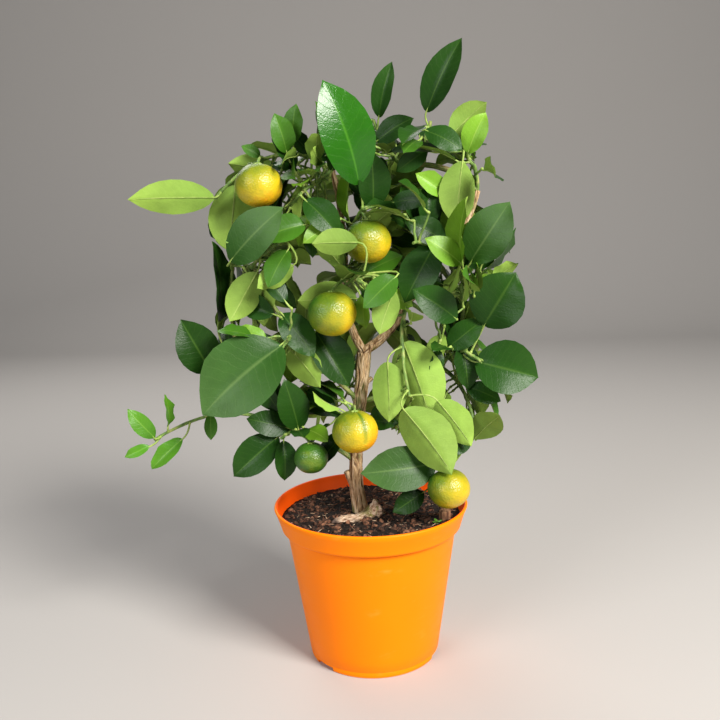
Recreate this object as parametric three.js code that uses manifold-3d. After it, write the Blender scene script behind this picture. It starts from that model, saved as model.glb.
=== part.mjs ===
// A calamondin tree in a round nursery pot. Millimetres: x to the right, y to the back, z up,
// from the middle of the pot's flat underside.
import * as THREE from "three";
import { mergeVertices } from "three/addons/utils/BufferGeometryUtils.js";
import Module from "manifold-3d";

const { Vector3 } = THREE;
const { degToRad: radians, lerp, clamp } = THREE.MathUtils;
const wasm = await Module();
wasm.setup();

// Pot: a thin wall with a rolled rim band, on a floor with three notches round its foot.
const POT = { height: 121, rim: 75, bandFoot: 70, band: 15.6, shoulder: 65.9, step: 2.4, base: 50.5 };
const WALL = { thick: 1.6, floor: 5, bead: 1.3, sides: 48 };
const NOTCH = { bearings: [100, 220, 340], width: 18, height: 3.4, depth: 3.6 };
const SOIL = { top: 111.5, edge: 110.2, lump: 1, foot: 12, sides: 32 };
const CHIP = { from: [-30, -24, 113], to: [9, -8, 115], foot: 1.8, tip: 3.8 };
const SEAM = 0.3;

// Where the wood forks or bends.
const FORKS = {
  foot: [-6.8, 4, 108],
  lowFork: [-10.5, 3, 152],
  midFork: [-6, 2, 200],
  topFork: [-2, 0, 239],
  lowLeft: [-58, 0, 180],
  outerLeft: [-97, 0, 243],
  highLeft: [-97, -4, 304],
  midLeft: [-57, -6, 259],
  upperLeft: [-80, -12, 305],
  innerLeft: [-15, 4, 286],
  topLeft: [-21, 4, 374],
  innerRight: [32, 0, 277],
  midRight: [57, 0, 308],
  topRight: [84, -2, 356],
  topMiddle: [30, 0, 376],
  outerRight: [57, 10, 224],
  highRight: [74, 5, 272],
};

// Trunk: the height of its flat cut, its radius at the foot, waist and fork, the flare of its foot,
// and two pruned stubs.
const TRUNK = { cut: 111.8, foot: 5.4, waist: 4.3, fork: 5, flare: 1.8, flareHeight: 9 };
const STUBS = [
  { from: [-8.5, 4, 122], to: [-18, 3, 144.5], foot: 3.6, tip: 2.6 },
  { from: [-4, 2, 212], to: [3.6, 1, 218.5], foot: 2.4, tip: 1.7 },
];

// Boughs: from, to, radius at the foot and at the tip, and how far the middle bows out.
const BOUGHS = {
  bough_low_left: ["lowFork", "lowLeft", 2.4, 1.9, [0, 0, 4]],
  bough_outer_left: ["lowLeft", "outerLeft", 1.9, 1.6, [-6, 0, 0]],
  bough_high_left: ["outerLeft", "highLeft", 1.6, 1.4, [-3, 0, 0]],
  bough_mid_left: ["midFork", "midLeft", 2, 1.7, [-3, -3, 2]],
  bough_upper_left: ["midLeft", "upperLeft", 1.7, 1.4, [-2, 0, 0]],
  bough_inner_left: ["topFork", "innerLeft", 3.2, 2.7, [-4, 2, 0]],
  bough_top_left: ["innerLeft", "topLeft", 2.7, 2, [3, 2, 0]],
  bough_inner_right: ["topFork", "innerRight", 3.7, 3.2, [3, 0, -3]],
  bough_mid_right: ["innerRight", "midRight", 3.2, 2.9, [2, 0, -2]],
  bough_top_right: ["midRight", "topRight", 2.9, 2.4, [3, 0, -4]],
  bough_top_middle: ["topRight", "topMiddle", 2.4, 1.9, [4, 0, 6]],
  bough_outer_right: ["midFork", "outerRight", 2.2, 1.9, [6, 4, -4]],
  bough_high_right: ["outerRight", "highRight", 1.9, 1.5, [5, 0, 0]],
};

// Masses of foliage: each has one stem, from a fork or a place on the trunk to its own tip, bowed in
// its middle. Shoots stay within its reach of the stem and bear its count of leaves.
const MASSES = {
  top_left: { from: "topLeft", to: [-105, -15, 355], bow: [0, 0, 20], reach: 55, leaves: 4 },
  upper_centre: { from: "topLeft", to: [-45, -25, 355], bow: [0, 0, 0], reach: 55, leaves: 4 },
  crown_centre: { from: "innerLeft", to: [0, -20, 345], bow: [-5, 5, 5], reach: 55, leaves: 3 },
  centre: { from: "innerLeft", to: [0, -40, 300], bow: [0, -5, 5], reach: 55, leaves: 3 },
  top_right: { from: "topMiddle", to: [50, -10, 405], bow: [5, 0, 0], reach: 50, leaves: 5 },
  top_back: { from: "topMiddle", to: [10, 15, 410], bow: [0, 5, -5], reach: 50, leaves: 4 },
  top_corner: { from: "topRight", to: [65, -15, 395], bow: [5, 0, 0], reach: 50, leaves: 4 },
  right_upper: { from: "highRight", to: [70, -25, 300], bow: [0, 0, 0], reach: 55, leaves: 3 },
  right_lower: { from: "outerRight", to: [85, -10, 230], bow: [0, 0, 10], reach: 55, leaves: 3 },
  centre_right: { from: "midRight", to: [35, -30, 320], bow: [0, 0, 5], reach: 60, leaves: 5 },
  mid_right: { from: "innerRight", to: [65, -25, 265], bow: [0, 0, -5], reach: 50, leaves: 4 },
  low_right: { from: "innerRight", to: [30, -30, 210], bow: [-5, -5, 5], reach: 50, leaves: 3 },
  foot_right: { from: "outerRight", to: [70, -20, 165], bow: [15, 5, 0], reach: 50, leaves: 3 },
  low_left: { from: "lowLeft", to: [-65, -25, 180], bow: [0, 0, 0], reach: 50, leaves: 3 },
  low_centre: { from: [-5, 0, 195], to: [-10, -35, 205], bow: [-5, 0, -5], reach: 50, leaves: 3 },
  left_lower: { from: "midLeft", to: [-55, -35, 255], bow: [0, 0, 0], reach: 55, leaves: 4 },
  left_mid: { from: "outerLeft", to: [-110, -5, 225], bow: [-5, 0, 5], reach: 50, leaves: 3 },
  left_upper: { from: "upperLeft", to: [-55, -30, 325], bow: [-5, 0, 0], reach: 60, leaves: 5 },
  left_top: { from: "highLeft", to: [-95, -35, 325], bow: [0, 0, 0], reach: 55, leaves: 3 },
  sprig_left: { from: "lowLeft", to: [-160, -20, 180], bow: [0, 5, 15], reach: 45, leaves: 0 },
  back_top_left: { from: "topLeft", to: [-60, 40, 350], bow: [0, 0, 5], reach: 60, leaves: 7 },
  back_top_right: { from: "topRight", to: [45, 40, 350], bow: [0, 0, 5], reach: 60, leaves: 7 },
  back_left: { from: "upperLeft", to: [-90, 40, 295], bow: [-5, 0, 5], reach: 60, leaves: 7 },
  back_centre: { from: "innerLeft", to: [-5, 45, 320], bow: [0, 0, 0], reach: 60, leaves: 7 },
  back_right: { from: "highRight", to: [60, 40, 300], bow: [0, 0, 0], reach: 60, leaves: 7 },
  back_low_right: { from: "outerRight", to: [45, 40, 205], bow: [5, 0, 0], reach: 60, leaves: 7 },
  back_low_left: { from: [-5, 5, 210], to: [-45, 40, 230], bow: [0, 5, -5], reach: 60, leaves: 7 },
};

// The turn of a leaf about its own length: which side of it faces the front.
const UPPER = 20;
const EDGE = 70;
const UNDER = 170;

// Leaders: the leaves that stand out in each mass. A row is how far right and up of the pot's centre
// the blade starts, the hour it points to on a clock seen from the front, its length and its turn.
const LEADERS = {
  top_left: [
    [-105, 356, 9, 60, UNDER],
    [-92, 365, 6.2, 50, UNDER],
    [-72, 384, 10, 15, UPPER],
  ],
  upper_centre: [
    [-52, 385, 11.5, 28, UPPER],
    [-48, 392, 12.3, 27, UPPER],
    [-31, 390, 12, 31, EDGE],
    [-40, 352, 4.6, 35, UPPER],
  ],
  crown_centre: [
    [-1, 362, 11.4, 74, UPPER],
    [-10, 337, 12.2, 37, EDGE],
    [7, 345, 12, 40, UPPER],
  ],
  centre: [
    [-6, 280, 9, 44, UNDER],
    [0, 298, 2.2, 32, UPPER],
    [22, 298, 7.6, 32, UPPER],
    [20, 288, 6.7, 32, UNDER],
    [-4, 322, 9, 32, UNDER],
  ],
  top_right: [
    [47, 411, 12.9, 54, UPPER],
    [46, 398, 4, 30, UPPER],
  ],
  top_back: [
    [14, 411, 12.5, 40, UPPER],
    [12, 394, 2, 32, UPPER],
  ],
  top_corner: [
    [72, 376, 6.2, 46, UNDER],
    [64, 394, 1.6, 34, UNDER],
    [76, 382, 12.8, 30, UPPER],
  ],
  right_upper: [
    [76, 305, 1.1, 50, UPPER],
    [70, 302, 12.1, 50, EDGE],
    [72, 302, 12.4, 34, EDGE],
    [68, 305, 10.2, 32, UPPER],
  ],
  right_lower: [
    [82, 229, 3.5, 48, UPPER],
    [88, 257, 1, 46, UPPER],
    [62, 240, 1.7, 34, UPPER],
    [72, 243, 5.8, 36, UPPER],
    [76, 210, 3.8, 28, UPPER],
    [83, 245, 5.2, 32, EDGE],
  ],
  centre_right: [
    [60, 320, 9.9, 34, UPPER],
    [60, 353, 10.2, 27, UPPER],
    [52, 318, 7, 48, UPPER],
  ],
  mid_right: [
    [65, 265, 10.2, 40, UPPER],
  ],
  low_right: [
    [27, 248, 5.4, 61, UNDER],
    [25, 203, 4.8, 58, UNDER],
    [50, 207, 4.8, 41, UNDER],
    [15, 235, 6, 44, UNDER],
  ],
  foot_right: [
    [50, 156, 8.9, 58, UPPER],
    [40, 135, 8, 28, UPPER],
  ],
  low_left: [
    [-68, 178, 7.7, 45, UPPER],
    [-60, 184, 9.6, 33, UPPER],
    [-53, 183, 11.6, 42, UPPER],
    [-64, 176, 6, 30, UPPER],
  ],
  low_centre: [
    [-33, 217, 5, 40, UPPER],
  ],
  left_lower: [
    [-61, 251, 7.7, 75, UPPER],
    [-60, 250, 4.7, 42, UNDER],
    [-61, 272, 4.8, 40, UPPER],
    [-38, 256, 5, 48, UPPER],
  ],
  left_mid: [
    [-117, 228, 11.2, 46, UPPER],
    [-111, 264, 12, 62, EDGE],
  ],
  left_upper: [
    [-40, 335, 8.5, 35, UPPER],
    [-53, 318, 7, 30, UPPER],
    [-50, 307, 8, 30, UNDER],
    [-77, 302, 7, 40, UNDER],
  ],
  left_top: [
    [-94, 311, 1.6, 55, UPPER],
  ],
  sprig_left: [
    [-159, 182, 10.8, 30, UPPER],
    [-149, 190, 12, 26, EDGE],
    [-163, 176, 8.3, 20, UPPER],
    [-140, 179, 7.6, 32, UPPER],
    [-119, 197, 6, 20, UPPER],
  ],
};

// Every leader leans a little to the front. Its stalk comes from the place on the stem nearest to a
// heel behind the blade. Where its way is blocked it starts further forward or back. Its width is a
// share of its length.
const LEADER = {
  lean: 10, heel: 10, places: 20, firstPlace: 6, slender: 0.52,
  forward: [4, -4, 8, -8, 12, -12, 16, -16, 20, 24, 28],
};

// Fruit: its mass, its centre and its diameter.
const FRUIT = {
  top_left: { centre: [-72, -28, 363], across: 33 },
  crown_centre: { centre: [3, -20, 322], across: 34 },
  centre: { centre: [-24, -30, 272], across: 35 },
  low_left: { centre: [-43, -30, 166], across: 25 },
  low_centre: { centre: [-10, -42, 188], across: 33 },
  foot_right: { centre: [57, -38, 142], across: 31 },
};
const FRUIT_SHAPE = { squash: 0.93, around: 9, down: 6, stalk: 1 };

// Open windows in the crown: right, up and radius, clear from front to back.
const WINDOWS = [
  [-78, 410, 13], [-38, 415, 7], [-40, 432, 9], [32, 430, 13], [67, 423, 9], [55, 370, 7],
  [98, 372, 8], [-16, 347, 6], [-47, 293, 8], [-33, 304, 6], [-68, 268, 5], [44, 258, 9],
  [96, 250, 9], [11, 232, 9], [57, 215, 6], [71, 196, 6], [-92, 192, 12], [-30, 145, 9],
];
const CROWN = { centre: [2, 0, 282], half: [122, 72, 132], power: 3 };
const CLEAR = { leaf: 3.4, within: 0.7, wood: 3, fruit: 2.5, ownFruit: 1, stalk: 2.5, pastFruit: 1.5 };
const STEM = { foot: 1.6, tip: 1.1, sides: 4, steps: 4, bare: 0.15 };
const TWIG = { foot: 1.2, tip: 1, root: 0.4, free: 0.3, sides: 3 };

// Shoots: the seed of the first mass, how often a shoot is tried and each leaf drawn, where its leaves
// stand, its turn from the last, how far it leans ahead, outward and up, and its share of the reach.
const SHOOT = {
  seed: 2, tries: 60, draws: 4, places: [0.45, 0.75, 1], turn: 137.5,
  ahead: 0.3, outward: 0.9, up: 0.15, span: [0.25, 0.6],
};

// Leaves: the arch in radians and the fold of the blade, its keel below the midrib, its neck at the
// stalk, and for those on shoots the length of the blade and its slenderness, least and most.
const LEAF = {
  arch: 0.6, fold: 0.15, keel: 1.2, neck: 0.9, stalk: 7, length: [30, 56], slender: [0.42, 0.58], aside: 0.8,
};

const COLOURS = {
  pot: [0xffa318, 0.42],
  soil: [0x33251b, 0.95],
  chip: [0xc9a682, 0.9],
  bark: [0x8d7350, 0.9],
  foliage: [0x3f7f2b, 0.5],
};

const vector = (numbers) => new Vector3(...numbers);
const spot = (place) => vector(FORKS[place] ?? place);
const UP = new Vector3(0, 0, 1);
const FRONT = new Vector3(0, -1, 0);

// Paths. The trunk is one cubic through its foot and forks, a third of its length apart.
function through(a, b, c, d) {
  const near = a.clone().multiplyScalar(-5).addScaledVector(b, 18).addScaledVector(c, -9).addScaledVector(d, 2);
  const far = a.clone().multiplyScalar(2).addScaledVector(b, -9).addScaledVector(c, 18).addScaledVector(d, -5);
  return new THREE.CubicBezierCurve3(a, near.divideScalar(6), far.divideScalar(6), d);
}

const trunkPath = through(...["foot", "lowFork", "midFork", "topFork"].map(spot));

function bowedPath(from, to, bow) {
  const middle = spot(from).add(spot(to)).multiplyScalar(0.5).addScaledVector(vector(bow), 2);
  return new THREE.QuadraticBezierCurve3(spot(from), middle, spot(to));
}

const stemPath = (owner) => bowedPath(MASSES[owner].from, MASSES[owner].to, MASSES[owner].bow);

// The way an hour on the clock points, leaning to the front.
function pointing(hour) {
  const turn = (2 * Math.PI * hour) / 12;
  return new Vector3(Math.sin(turn), 0, Math.cos(turn))
    .multiplyScalar(Math.cos(radians(LEADER.lean)))
    .addScaledVector(FRONT, Math.sin(radians(LEADER.lean)));
}

// The place on a stem, clear of its foot, nearest to a point, both seen from the front.
function nearestPlace(path, point) {
  const gap = (place) => Math.hypot(place.x - point.x, place.z - point.z);
  const places = path.getPoints(LEADER.places).slice(LEADER.firstPlace);
  return places.reduce((best, place) => (gap(place) < gap(best) ? place : best));
}

function seeded(seed) {
  let state = Math.imul(seed, 2654435761) >>> 0;
  return () => {
    state = (Math.imul(1664525, state) + 1013904223) >>> 0;
    return state / 2 ** 32;
  };
}

// A leaf arches evenly down along its length, so its chord runs as asked.
function makeLeaf(root, base, along, look, length, width) {
  const chord = along.clone().normalize();
  const face = look.clone().addScaledVector(chord, -look.dot(chord)).normalize();
  const half = LEAF.arch / 2;
  const ahead = chord.clone().multiplyScalar(Math.cos(half)).addScaledVector(face, Math.sin(half));
  const normal = face.clone().multiplyScalar(Math.cos(half)).addScaledVector(chord, -Math.sin(half));
  const side = ahead.clone().cross(normal);
  return { root, base, ahead, normal, side, length: (length * half) / Math.sin(half), width };
}

// A point of a leaf: its share of the length, its share of the half width, and its height above.
function leafPoint(leaf, share, across, lift = 0) {
  const bend = LEAF.arch * share;
  const taper = share > 0 && share < 1 ? Math.sin(Math.PI * share ** 0.9) ** 0.85 : 0;
  const aside = across * Math.max((leaf.width / 2) * taper, across && LEAF.neck);
  const above = leaf.normal.clone().multiplyScalar(Math.cos(bend)).addScaledVector(leaf.ahead, Math.sin(bend));
  return leaf.base.clone()
    .addScaledVector(leaf.ahead, (leaf.length * Math.sin(bend)) / LEAF.arch)
    .addScaledVector(leaf.normal, (-leaf.length * (1 - Math.cos(bend))) / LEAF.arch)
    .addScaledVector(leaf.side, aside)
    .addScaledVector(above, Math.abs(aside) * LEAF.fold + lift);
}

function sampleLeaf(leaf) {
  leaf.samples = [leafPoint(leaf, 1, 0)];
  for (const share of [0.2, 0.32, 0.44, 0.56, 0.68, 0.8, 0.9])
    for (const across of [-1, -0.6, -0.2, 0.2, 0.6, 1]) leaf.samples.push(leafPoint(leaf, share, across));
  leaf.middle = leafPoint(leaf, 0.5, 0);
  leaf.radius = Math.max(...leaf.samples.map((point) => point.distanceTo(leaf.middle)));
  return leaf;
}

function segmentGap(point, { a, b }) {
  const run = b.clone().sub(a);
  const share = clamp(point.clone().sub(a).dot(run) / run.lengthSq(), 0, 1);
  return point.distanceTo(a.clone().addScaledVector(run, share));
}

// What already stands: limbs as short rods, fruit, shoots and leaves.
const plant = { limbs: [], fruit: [], twigs: [], leaves: [] };

function addRods(path, foot, tip, count, owner) {
  const points = path.getPoints(count);
  for (let i = 0; i < count; i++) {
    const radius = foot + ((tip - foot) * (i + 0.5)) / count;
    plant.limbs.push({ a: points[i], b: points[i + 1], radius, owner });
  }
}

addRods(trunkPath, TRUNK.foot, TRUNK.fork, 6, "trunk");
for (const [name, [from, to, foot, tip, bow]] of Object.entries(BOUGHS))
  addRods(bowedPath(from, to, bow), foot, tip, 4, name);
for (const owner of Object.keys(MASSES)) addRods(stemPath(owner), STEM.foot, STEM.tip, 4, owner);
for (const [owner, { centre, across }] of Object.entries(FRUIT)) {
  const top = vector(centre).setZ(centre[2] + across / 2);
  const root = nearestPlace(stemPath(owner), top);
  plant.fruit.push({ owner, root, centre: vector(centre), radius: across / 2 });
}

// Whether a leaf would come too near the wood, the fruit or another leaf.
function leafBlocked(leaf, owner, others) {
  const near = (point, reach) => point.distanceTo(leaf.middle) < leaf.radius + reach;
  const touches = (gap, reach) => leaf.samples.some((point) => gap(point) < reach);
  for (const rod of [...plant.limbs, ...plant.twigs]) {
    const reach = rod.radius + CLEAR.wood;
    if (rod.owner === owner || segmentGap(leaf.middle, rod) > leaf.radius + reach) continue;
    if (touches((point) => segmentGap(point, rod), reach)) return true;
  }
  for (const fruit of plant.fruit) {
    const reach = fruit.radius + (fruit.owner === owner ? CLEAR.ownFruit : CLEAR.fruit);
    if (near(fruit.centre, reach) && touches((point) => point.distanceTo(fruit.centre), reach)) return true;
  }
  for (const other of [...plant.leaves, ...others]) {
    const reach = CLEAR.leaf * (other.owner === owner ? CLEAR.within : 1);
    if (!near(other.middle, other.radius + reach)) continue;
    for (const spot of other.samples)
      if (near(spot, reach) && touches((point) => point.distanceTo(spot), reach)) return true;
  }
  return false;
}

// Whether a stalk or shoot would.
function twigBlocked(from, to, owner) {
  for (const share of [0.2, 0.4, 0.6, 0.8, 1]) {
    const point = from.clone().lerp(to, share);
    for (const rod of [...plant.limbs, ...plant.twigs])
      if (rod.owner !== owner && segmentGap(point, rod) < rod.radius + CLEAR.stalk) return true;
    for (const { centre, radius } of plant.fruit)
      if (point.distanceTo(centre) < radius + CLEAR.pastFruit) return true;
    for (const leaf of plant.leaves) {
      if (leaf.middle.distanceTo(point) > leaf.radius + CLEAR.leaf) continue;
      if (leaf.samples.some((spot) => spot.distanceTo(point) < CLEAR.leaf)) return true;
    }
  }
  return false;
}

function growLeaders(owner) {
  const path = stemPath(owner);
  for (const [right, up, hour, length, turn] of LEADERS[owner] ?? []) {
    const along = pointing(hour);
    const start = new Vector3(right, 0, up);
    const root = nearestPlace(path, start.clone().addScaledVector(along, -LEADER.heel));
    const aside = along.clone().cross(FRONT);
    const look = FRONT.clone().multiplyScalar(Math.cos(radians(turn)))
      .addScaledVector(aside, Math.sin(radians(turn)) * (aside.z < 0 ? -1 : 1));
    for (const forward of LEADER.forward) {
      const base = start.clone().setY(root.y - forward);
      const leaf = sampleLeaf(makeLeaf(root, base, along, look, length, length * LEADER.slender));
      const stalk = root.clone().lerp(base, TWIG.free);
      if (leafBlocked(leaf, owner, []) || twigBlocked(stalk, base, owner)) continue;
      plant.leaves.push({ ...leaf, owner });
      break;
    }
  }
}

// Whether a point lies in the mass's own space: within reach of its stem, inside the crown, and clear
// of the windows and of the view of each fruit from the front.
function inSpace(point, mass, rods) {
  const bulge = ["x", "y", "z"].map((axis, i) =>
    Math.abs((point[axis] - CROWN.centre[i]) / CROWN.half[i]) ** CROWN.power);
  if (bulge[0] + bulge[1] + bulge[2] > 1) return false;
  for (const [right, up, radius] of WINDOWS)
    if (Math.hypot(point.x - right, point.z - up) < radius) return false;
  for (const { centre, radius } of plant.fruit)
    if (point.y < centre.y && Math.hypot(point.x - centre.x, point.z - centre.z) < radius) return false;
  return rods.some((rod) => segmentGap(point, rod) < mass.reach);
}

// Shoots leave the stem by the golden angle, each with up to three leaves. A leaf that would leave
// the mass's space or touch anything is drawn again a few times, then skipped.
function growShoots(owner) {
  const mass = MASSES[owner];
  const path = stemPath(owner);
  const rods = plant.limbs.filter((rod) => rod.owner === owner);
  const draw = seeded(SHOOT.seed + Object.keys(MASSES).indexOf(owner));
  const axis = path.getTangent(0.5);
  const across = axis.clone().cross(UP).normalize();
  const above = across.clone().cross(axis);
  const phase = draw() * 2 * Math.PI;
  let left = mass.leaves;
  for (let i = 0; i < SHOOT.tries && left > 0; i++) {
    const root = path.getPoint(lerp(STEM.bare, 1, draw()));
    const turn = phase + i * radians(SHOOT.turn);
    const run = axis.clone().multiplyScalar(SHOOT.ahead)
      .addScaledVector(across, SHOOT.outward * Math.cos(turn))
      .addScaledVector(above, SHOOT.outward * Math.sin(turn))
      .addScaledVector(UP, SHOOT.up).normalize();
    const span = mass.reach * lerp(...SHOOT.span, draw());
    const six = () => Array.from({ length: 6 }, draw);
    const draws = SHOOT.places.map(() => Array.from({ length: SHOOT.draws }, six));
    const foot = root.clone().addScaledVector(run, CLEAR.stalk);
    const tip = root.clone().addScaledVector(run, span);
    if (!inSpace(tip, mass, rods) || twigBlocked(foot, tip, owner)) continue;
    const kept = [];
    SHOOT.places.forEach((place, k) => {
      const node = root.clone().addScaledVector(run, span * place);
      const leaf = draws[k].map((numbers) => shootLeaf(node, run, place, k, numbers)).find((candidate) =>
        candidate.samples.every((point) => inSpace(point, mass, rods)) &&
        !leafBlocked(candidate, owner, kept) &&
        !twigBlocked(node.clone().lerp(candidate.base, TWIG.free), candidate.base, owner));
      if (leaf && kept.length < left) kept.push({ ...leaf, owner });
    });
    if (!kept.length) continue;
    const twig = { a: root, b: kept.at(-1).root, radius: TWIG.foot, owner };
    const clear = { a: foot, b: twig.b };
    if (kept.some((leaf) => leaf.samples.some((point) => segmentGap(point, clear) < CLEAR.stalk))) continue;
    plant.twigs.push(twig);
    plant.leaves.push(...kept);
    left -= kept.length;
  }
}

// One leaf of a shoot: it faces out of the crown and up, and runs ahead or to one side.
function shootLeaf(node, run, place, k, [a, b, c, e, f, g]) {
  const out = new Vector3(
    (node.x - CROWN.centre[0]) / CROWN.half[0] ** 2, (node.y - CROWN.centre[1]) / CROWN.half[1] ** 2, 0);
  out.multiplyScalar(80).clampLength(0, 1);
  const aside = run.clone().cross(out.lengthSq() > 0.01 ? out : UP).normalize();
  const along = place < 1
    ? run.clone().addScaledVector(aside, k % 2 ? -LEAF.aside : LEAF.aside).multiplyScalar(LEAF.aside)
    : run.clone();
  along.add(new Vector3(a - 0.5, b - 0.5, c - 0.6)).normalize();
  const look = out.addScaledVector(UP, 0.5).add(new Vector3(e - 0.5, f - 0.5, g - 0.5).multiplyScalar(0.8));
  const length = lerp(...LEAF.length, a);
  const base = node.clone().addScaledVector(along, LEAF.stalk);
  return sampleLeaf(makeLeaf(node, base, along, look, length, length * lerp(...LEAF.slender, f)));
}

// Solids.
function toSolid(geometry) {
  const bare = geometry.clone();
  bare.deleteAttribute("normal");
  bare.deleteAttribute("uv");
  const merged = mergeVertices(bare, 1e-4);
  return new wasm.Manifold(new wasm.Mesh({
    numProp: 3,
    vertProperties: new Float32Array(merged.attributes.position.array),
    triVerts: new Uint32Array(merged.index.array),
  }));
}

// The largest body of a solid, without the loose scraps that a cut leaves.
function largest(solid) {
  const bodies = solid.decompose();
  return bodies.reduce((best, body) => (body.volume() > best.volume() ? body : best)).simplify(0.01);
}

function toMesh(name, solid, [colour, roughness]) {
  const { vertProperties, triVerts } = solid.getMesh();
  const geometry = new THREE.BufferGeometry();
  geometry.setAttribute("position", new THREE.BufferAttribute(new Float32Array(vertProperties), 3));
  geometry.setIndex(new THREE.BufferAttribute(new Uint32Array(triVerts), 1));
  geometry.computeVertexNormals();
  const material = new THREE.MeshStandardMaterial({ color: colour, roughness, metalness: 0 });
  const mesh = new THREE.Mesh(geometry, material);
  mesh.name = name;
  return mesh;
}

// A stock shape with each of its points moved to where place(x, y, z) says.
function reshape(geometry, place) {
  const position = geometry.attributes.position;
  for (let i = 0; i < position.count; i++)
    position.setXYZ(i, ...place(position.getX(i), position.getY(i), position.getZ(i)).toArray());
  return toSolid(geometry);
}

// A limb: a tube of changing radius along a path, its ends pushed out where asked.
function limb(path, radiusAt, sides, steps, push = 0) {
  const { tangents, normals } = path.computeFrenetFrames(steps);
  return reshape(new THREE.CylinderGeometry(1, 1, 1, sides, steps), (x, y, z) => {
    const share = y + 0.5;
    const step = Math.round(share * steps);
    const sideways = normals[step].clone().cross(tangents[step]);
    const end = step === 0 ? -push : step === steps ? push : 0;
    return path.getPointAt(share)
      .addScaledVector(tangents[step], end)
      .addScaledVector(normals[step], x * radiusAt(share))
      .addScaledVector(sideways, z * radiusAt(share));
  });
}

const tapered = (foot, tip, extra = 0) => (share) => foot + (tip - foot) * share + extra;

function rod(a, b, foot, tip, sides, extra = 0) {
  return limb(new THREE.LineCurve3(a, b), tapered(foot, tip, extra), sides, 1, extra);
}

// A leaf and its stalk: a sphere of three sides drawn out from inside the stem to the leaf's tip,
// with one ring round the stalk's foot and the rest across the blade, from its keel to its edges.
function leafSolid(thin, extra) {
  const leaf = { ...thin, width: thin.width + 6 * extra };
  const radius = TWIG.root + extra;
  const shares = [0, 0, 0.03, 0.3, 0.68, 1];
  const rings = shares.length - 1;
  const stalk = leaf.base.clone().sub(leaf.root).normalize();
  const turn = new THREE.Quaternion().setFromUnitVectors(leaf.ahead, stalk);
  const side = leaf.side.clone().applyQuaternion(turn);
  const normal = leaf.normal.clone().applyQuaternion(turn);
  return reshape(new THREE.SphereGeometry(1, 3, rings), (x, y, z) => {
    const ring = Math.round((Math.acos(clamp(y, -1, 1)) / Math.PI) * rings);
    if (ring === 0) return leaf.root.clone().addScaledVector(stalk, -radius);
    const edge = ring === rings || Math.abs(z) < 0.1 ? 0 : Math.sign(z);
    const keel = ring < rings && edge === 0 ? -1 : 0.5;
    if (ring === 1)
      return leaf.root.clone()
        .addScaledVector(side, edge * radius)
        .addScaledVector(normal, keel * radius);
    const point = leafPoint(leaf, shares[ring], edge, keel < 0 ? -LEAF.keel - 2 * extra : extra);
    return ring < rings ? point : point.addScaledVector(leaf.ahead, 4 * extra);
  });
}

function fruitSolid({ root, centre, radius }, extra) {
  const { around, down, squash, stalk } = FRUIT_SHAPE;
  const ball = reshape(new THREE.SphereGeometry(radius + extra, around, down), (x, y, z) =>
    new Vector3(x, -z, y * squash).add(centre));
  return ball.add(rod(root, centre, stalk, stalk, TWIG.sides, extra));
}

// A mass of foliage in one piece, or its space when it is made larger all round.
function massSolid(owner, extra = 0) {
  const own = (item) => item.owner === owner;
  const stem = tapered(STEM.foot, STEM.tip, extra);
  return wasm.Manifold.union([
    limb(stemPath(owner), stem, STEM.sides, STEM.steps, extra),
    ...plant.twigs.filter(own).map(({ a, b }) => rod(a, b, TWIG.foot, TWIG.tip, TWIG.sides, extra)),
    ...plant.leaves.filter(own).map((leaf) => leafSolid(leaf, extra)),
    ...plant.fruit.filter(own).map((fruit) => fruitSolid(fruit, extra)),
  ]);
}

function trunkRadius(share) {
  const waist = Math.sin(Math.PI * share) ** 2;
  const flare = Math.exp((-share * trunkPath.getLength()) / TRUNK.flareHeight);
  return tapered(TRUNK.foot, TRUNK.fork)(share) * (1 - waist) + TRUNK.waist * waist + TRUNK.flare * flare;
}

function trunkSolid(extra = 0) {
  const stubs = STUBS.map(({ from, to, foot, tip }) =>
    rod(vector(from), vector(to), foot + extra, tip + extra, 6));
  const wood = limb(trunkPath, (share) => trunkRadius(share) + extra, 10, 12, extra);
  const whole = wasm.Manifold.union([wood, ...stubs]);
  return whole.trimByPlane([0, 0, 1], TRUNK.cut - extra);
}

// The pot's half section, turned about its axis, with the notches cut from its foot.
function potSolid() {
  const { height, rim, bandFoot, band, shoulder, step, base } = POT;
  const { thick, floor, bead, sides } = WALL;
  const bandLow = height - band;
  const outline = new THREE.Path();
  outline.moveTo(0, 0);
  outline.lineTo(base, 0);
  outline.lineTo(shoulder, bandLow - step);
  outline.quadraticCurveTo(bandFoot - 0.4, bandLow - step, bandFoot, bandLow);
  outline.absarc(rim - bead, height - bead, bead, 0, Math.PI, false);
  outline.lineTo(bandFoot - thick, bandLow);
  outline.lineTo(shoulder - thick, bandLow - step - thick);
  outline.lineTo(base - thick, floor);
  outline.lineTo(0, floor);
  const turned = new THREE.LatheGeometry(outline.getPoints(3), sides);
  const notches = NOTCH.bearings.map((bearing) => {
    const box = new THREE.BoxGeometry(NOTCH.depth * 2, NOTCH.width, NOTCH.height * 2);
    return toSolid(box.translate(base, 0, 0).rotateZ(radians(bearing)));
  });
  return toSolid(turned.rotateX(Math.PI / 2)).subtract(wasm.Manifold.union(notches));
}

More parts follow.
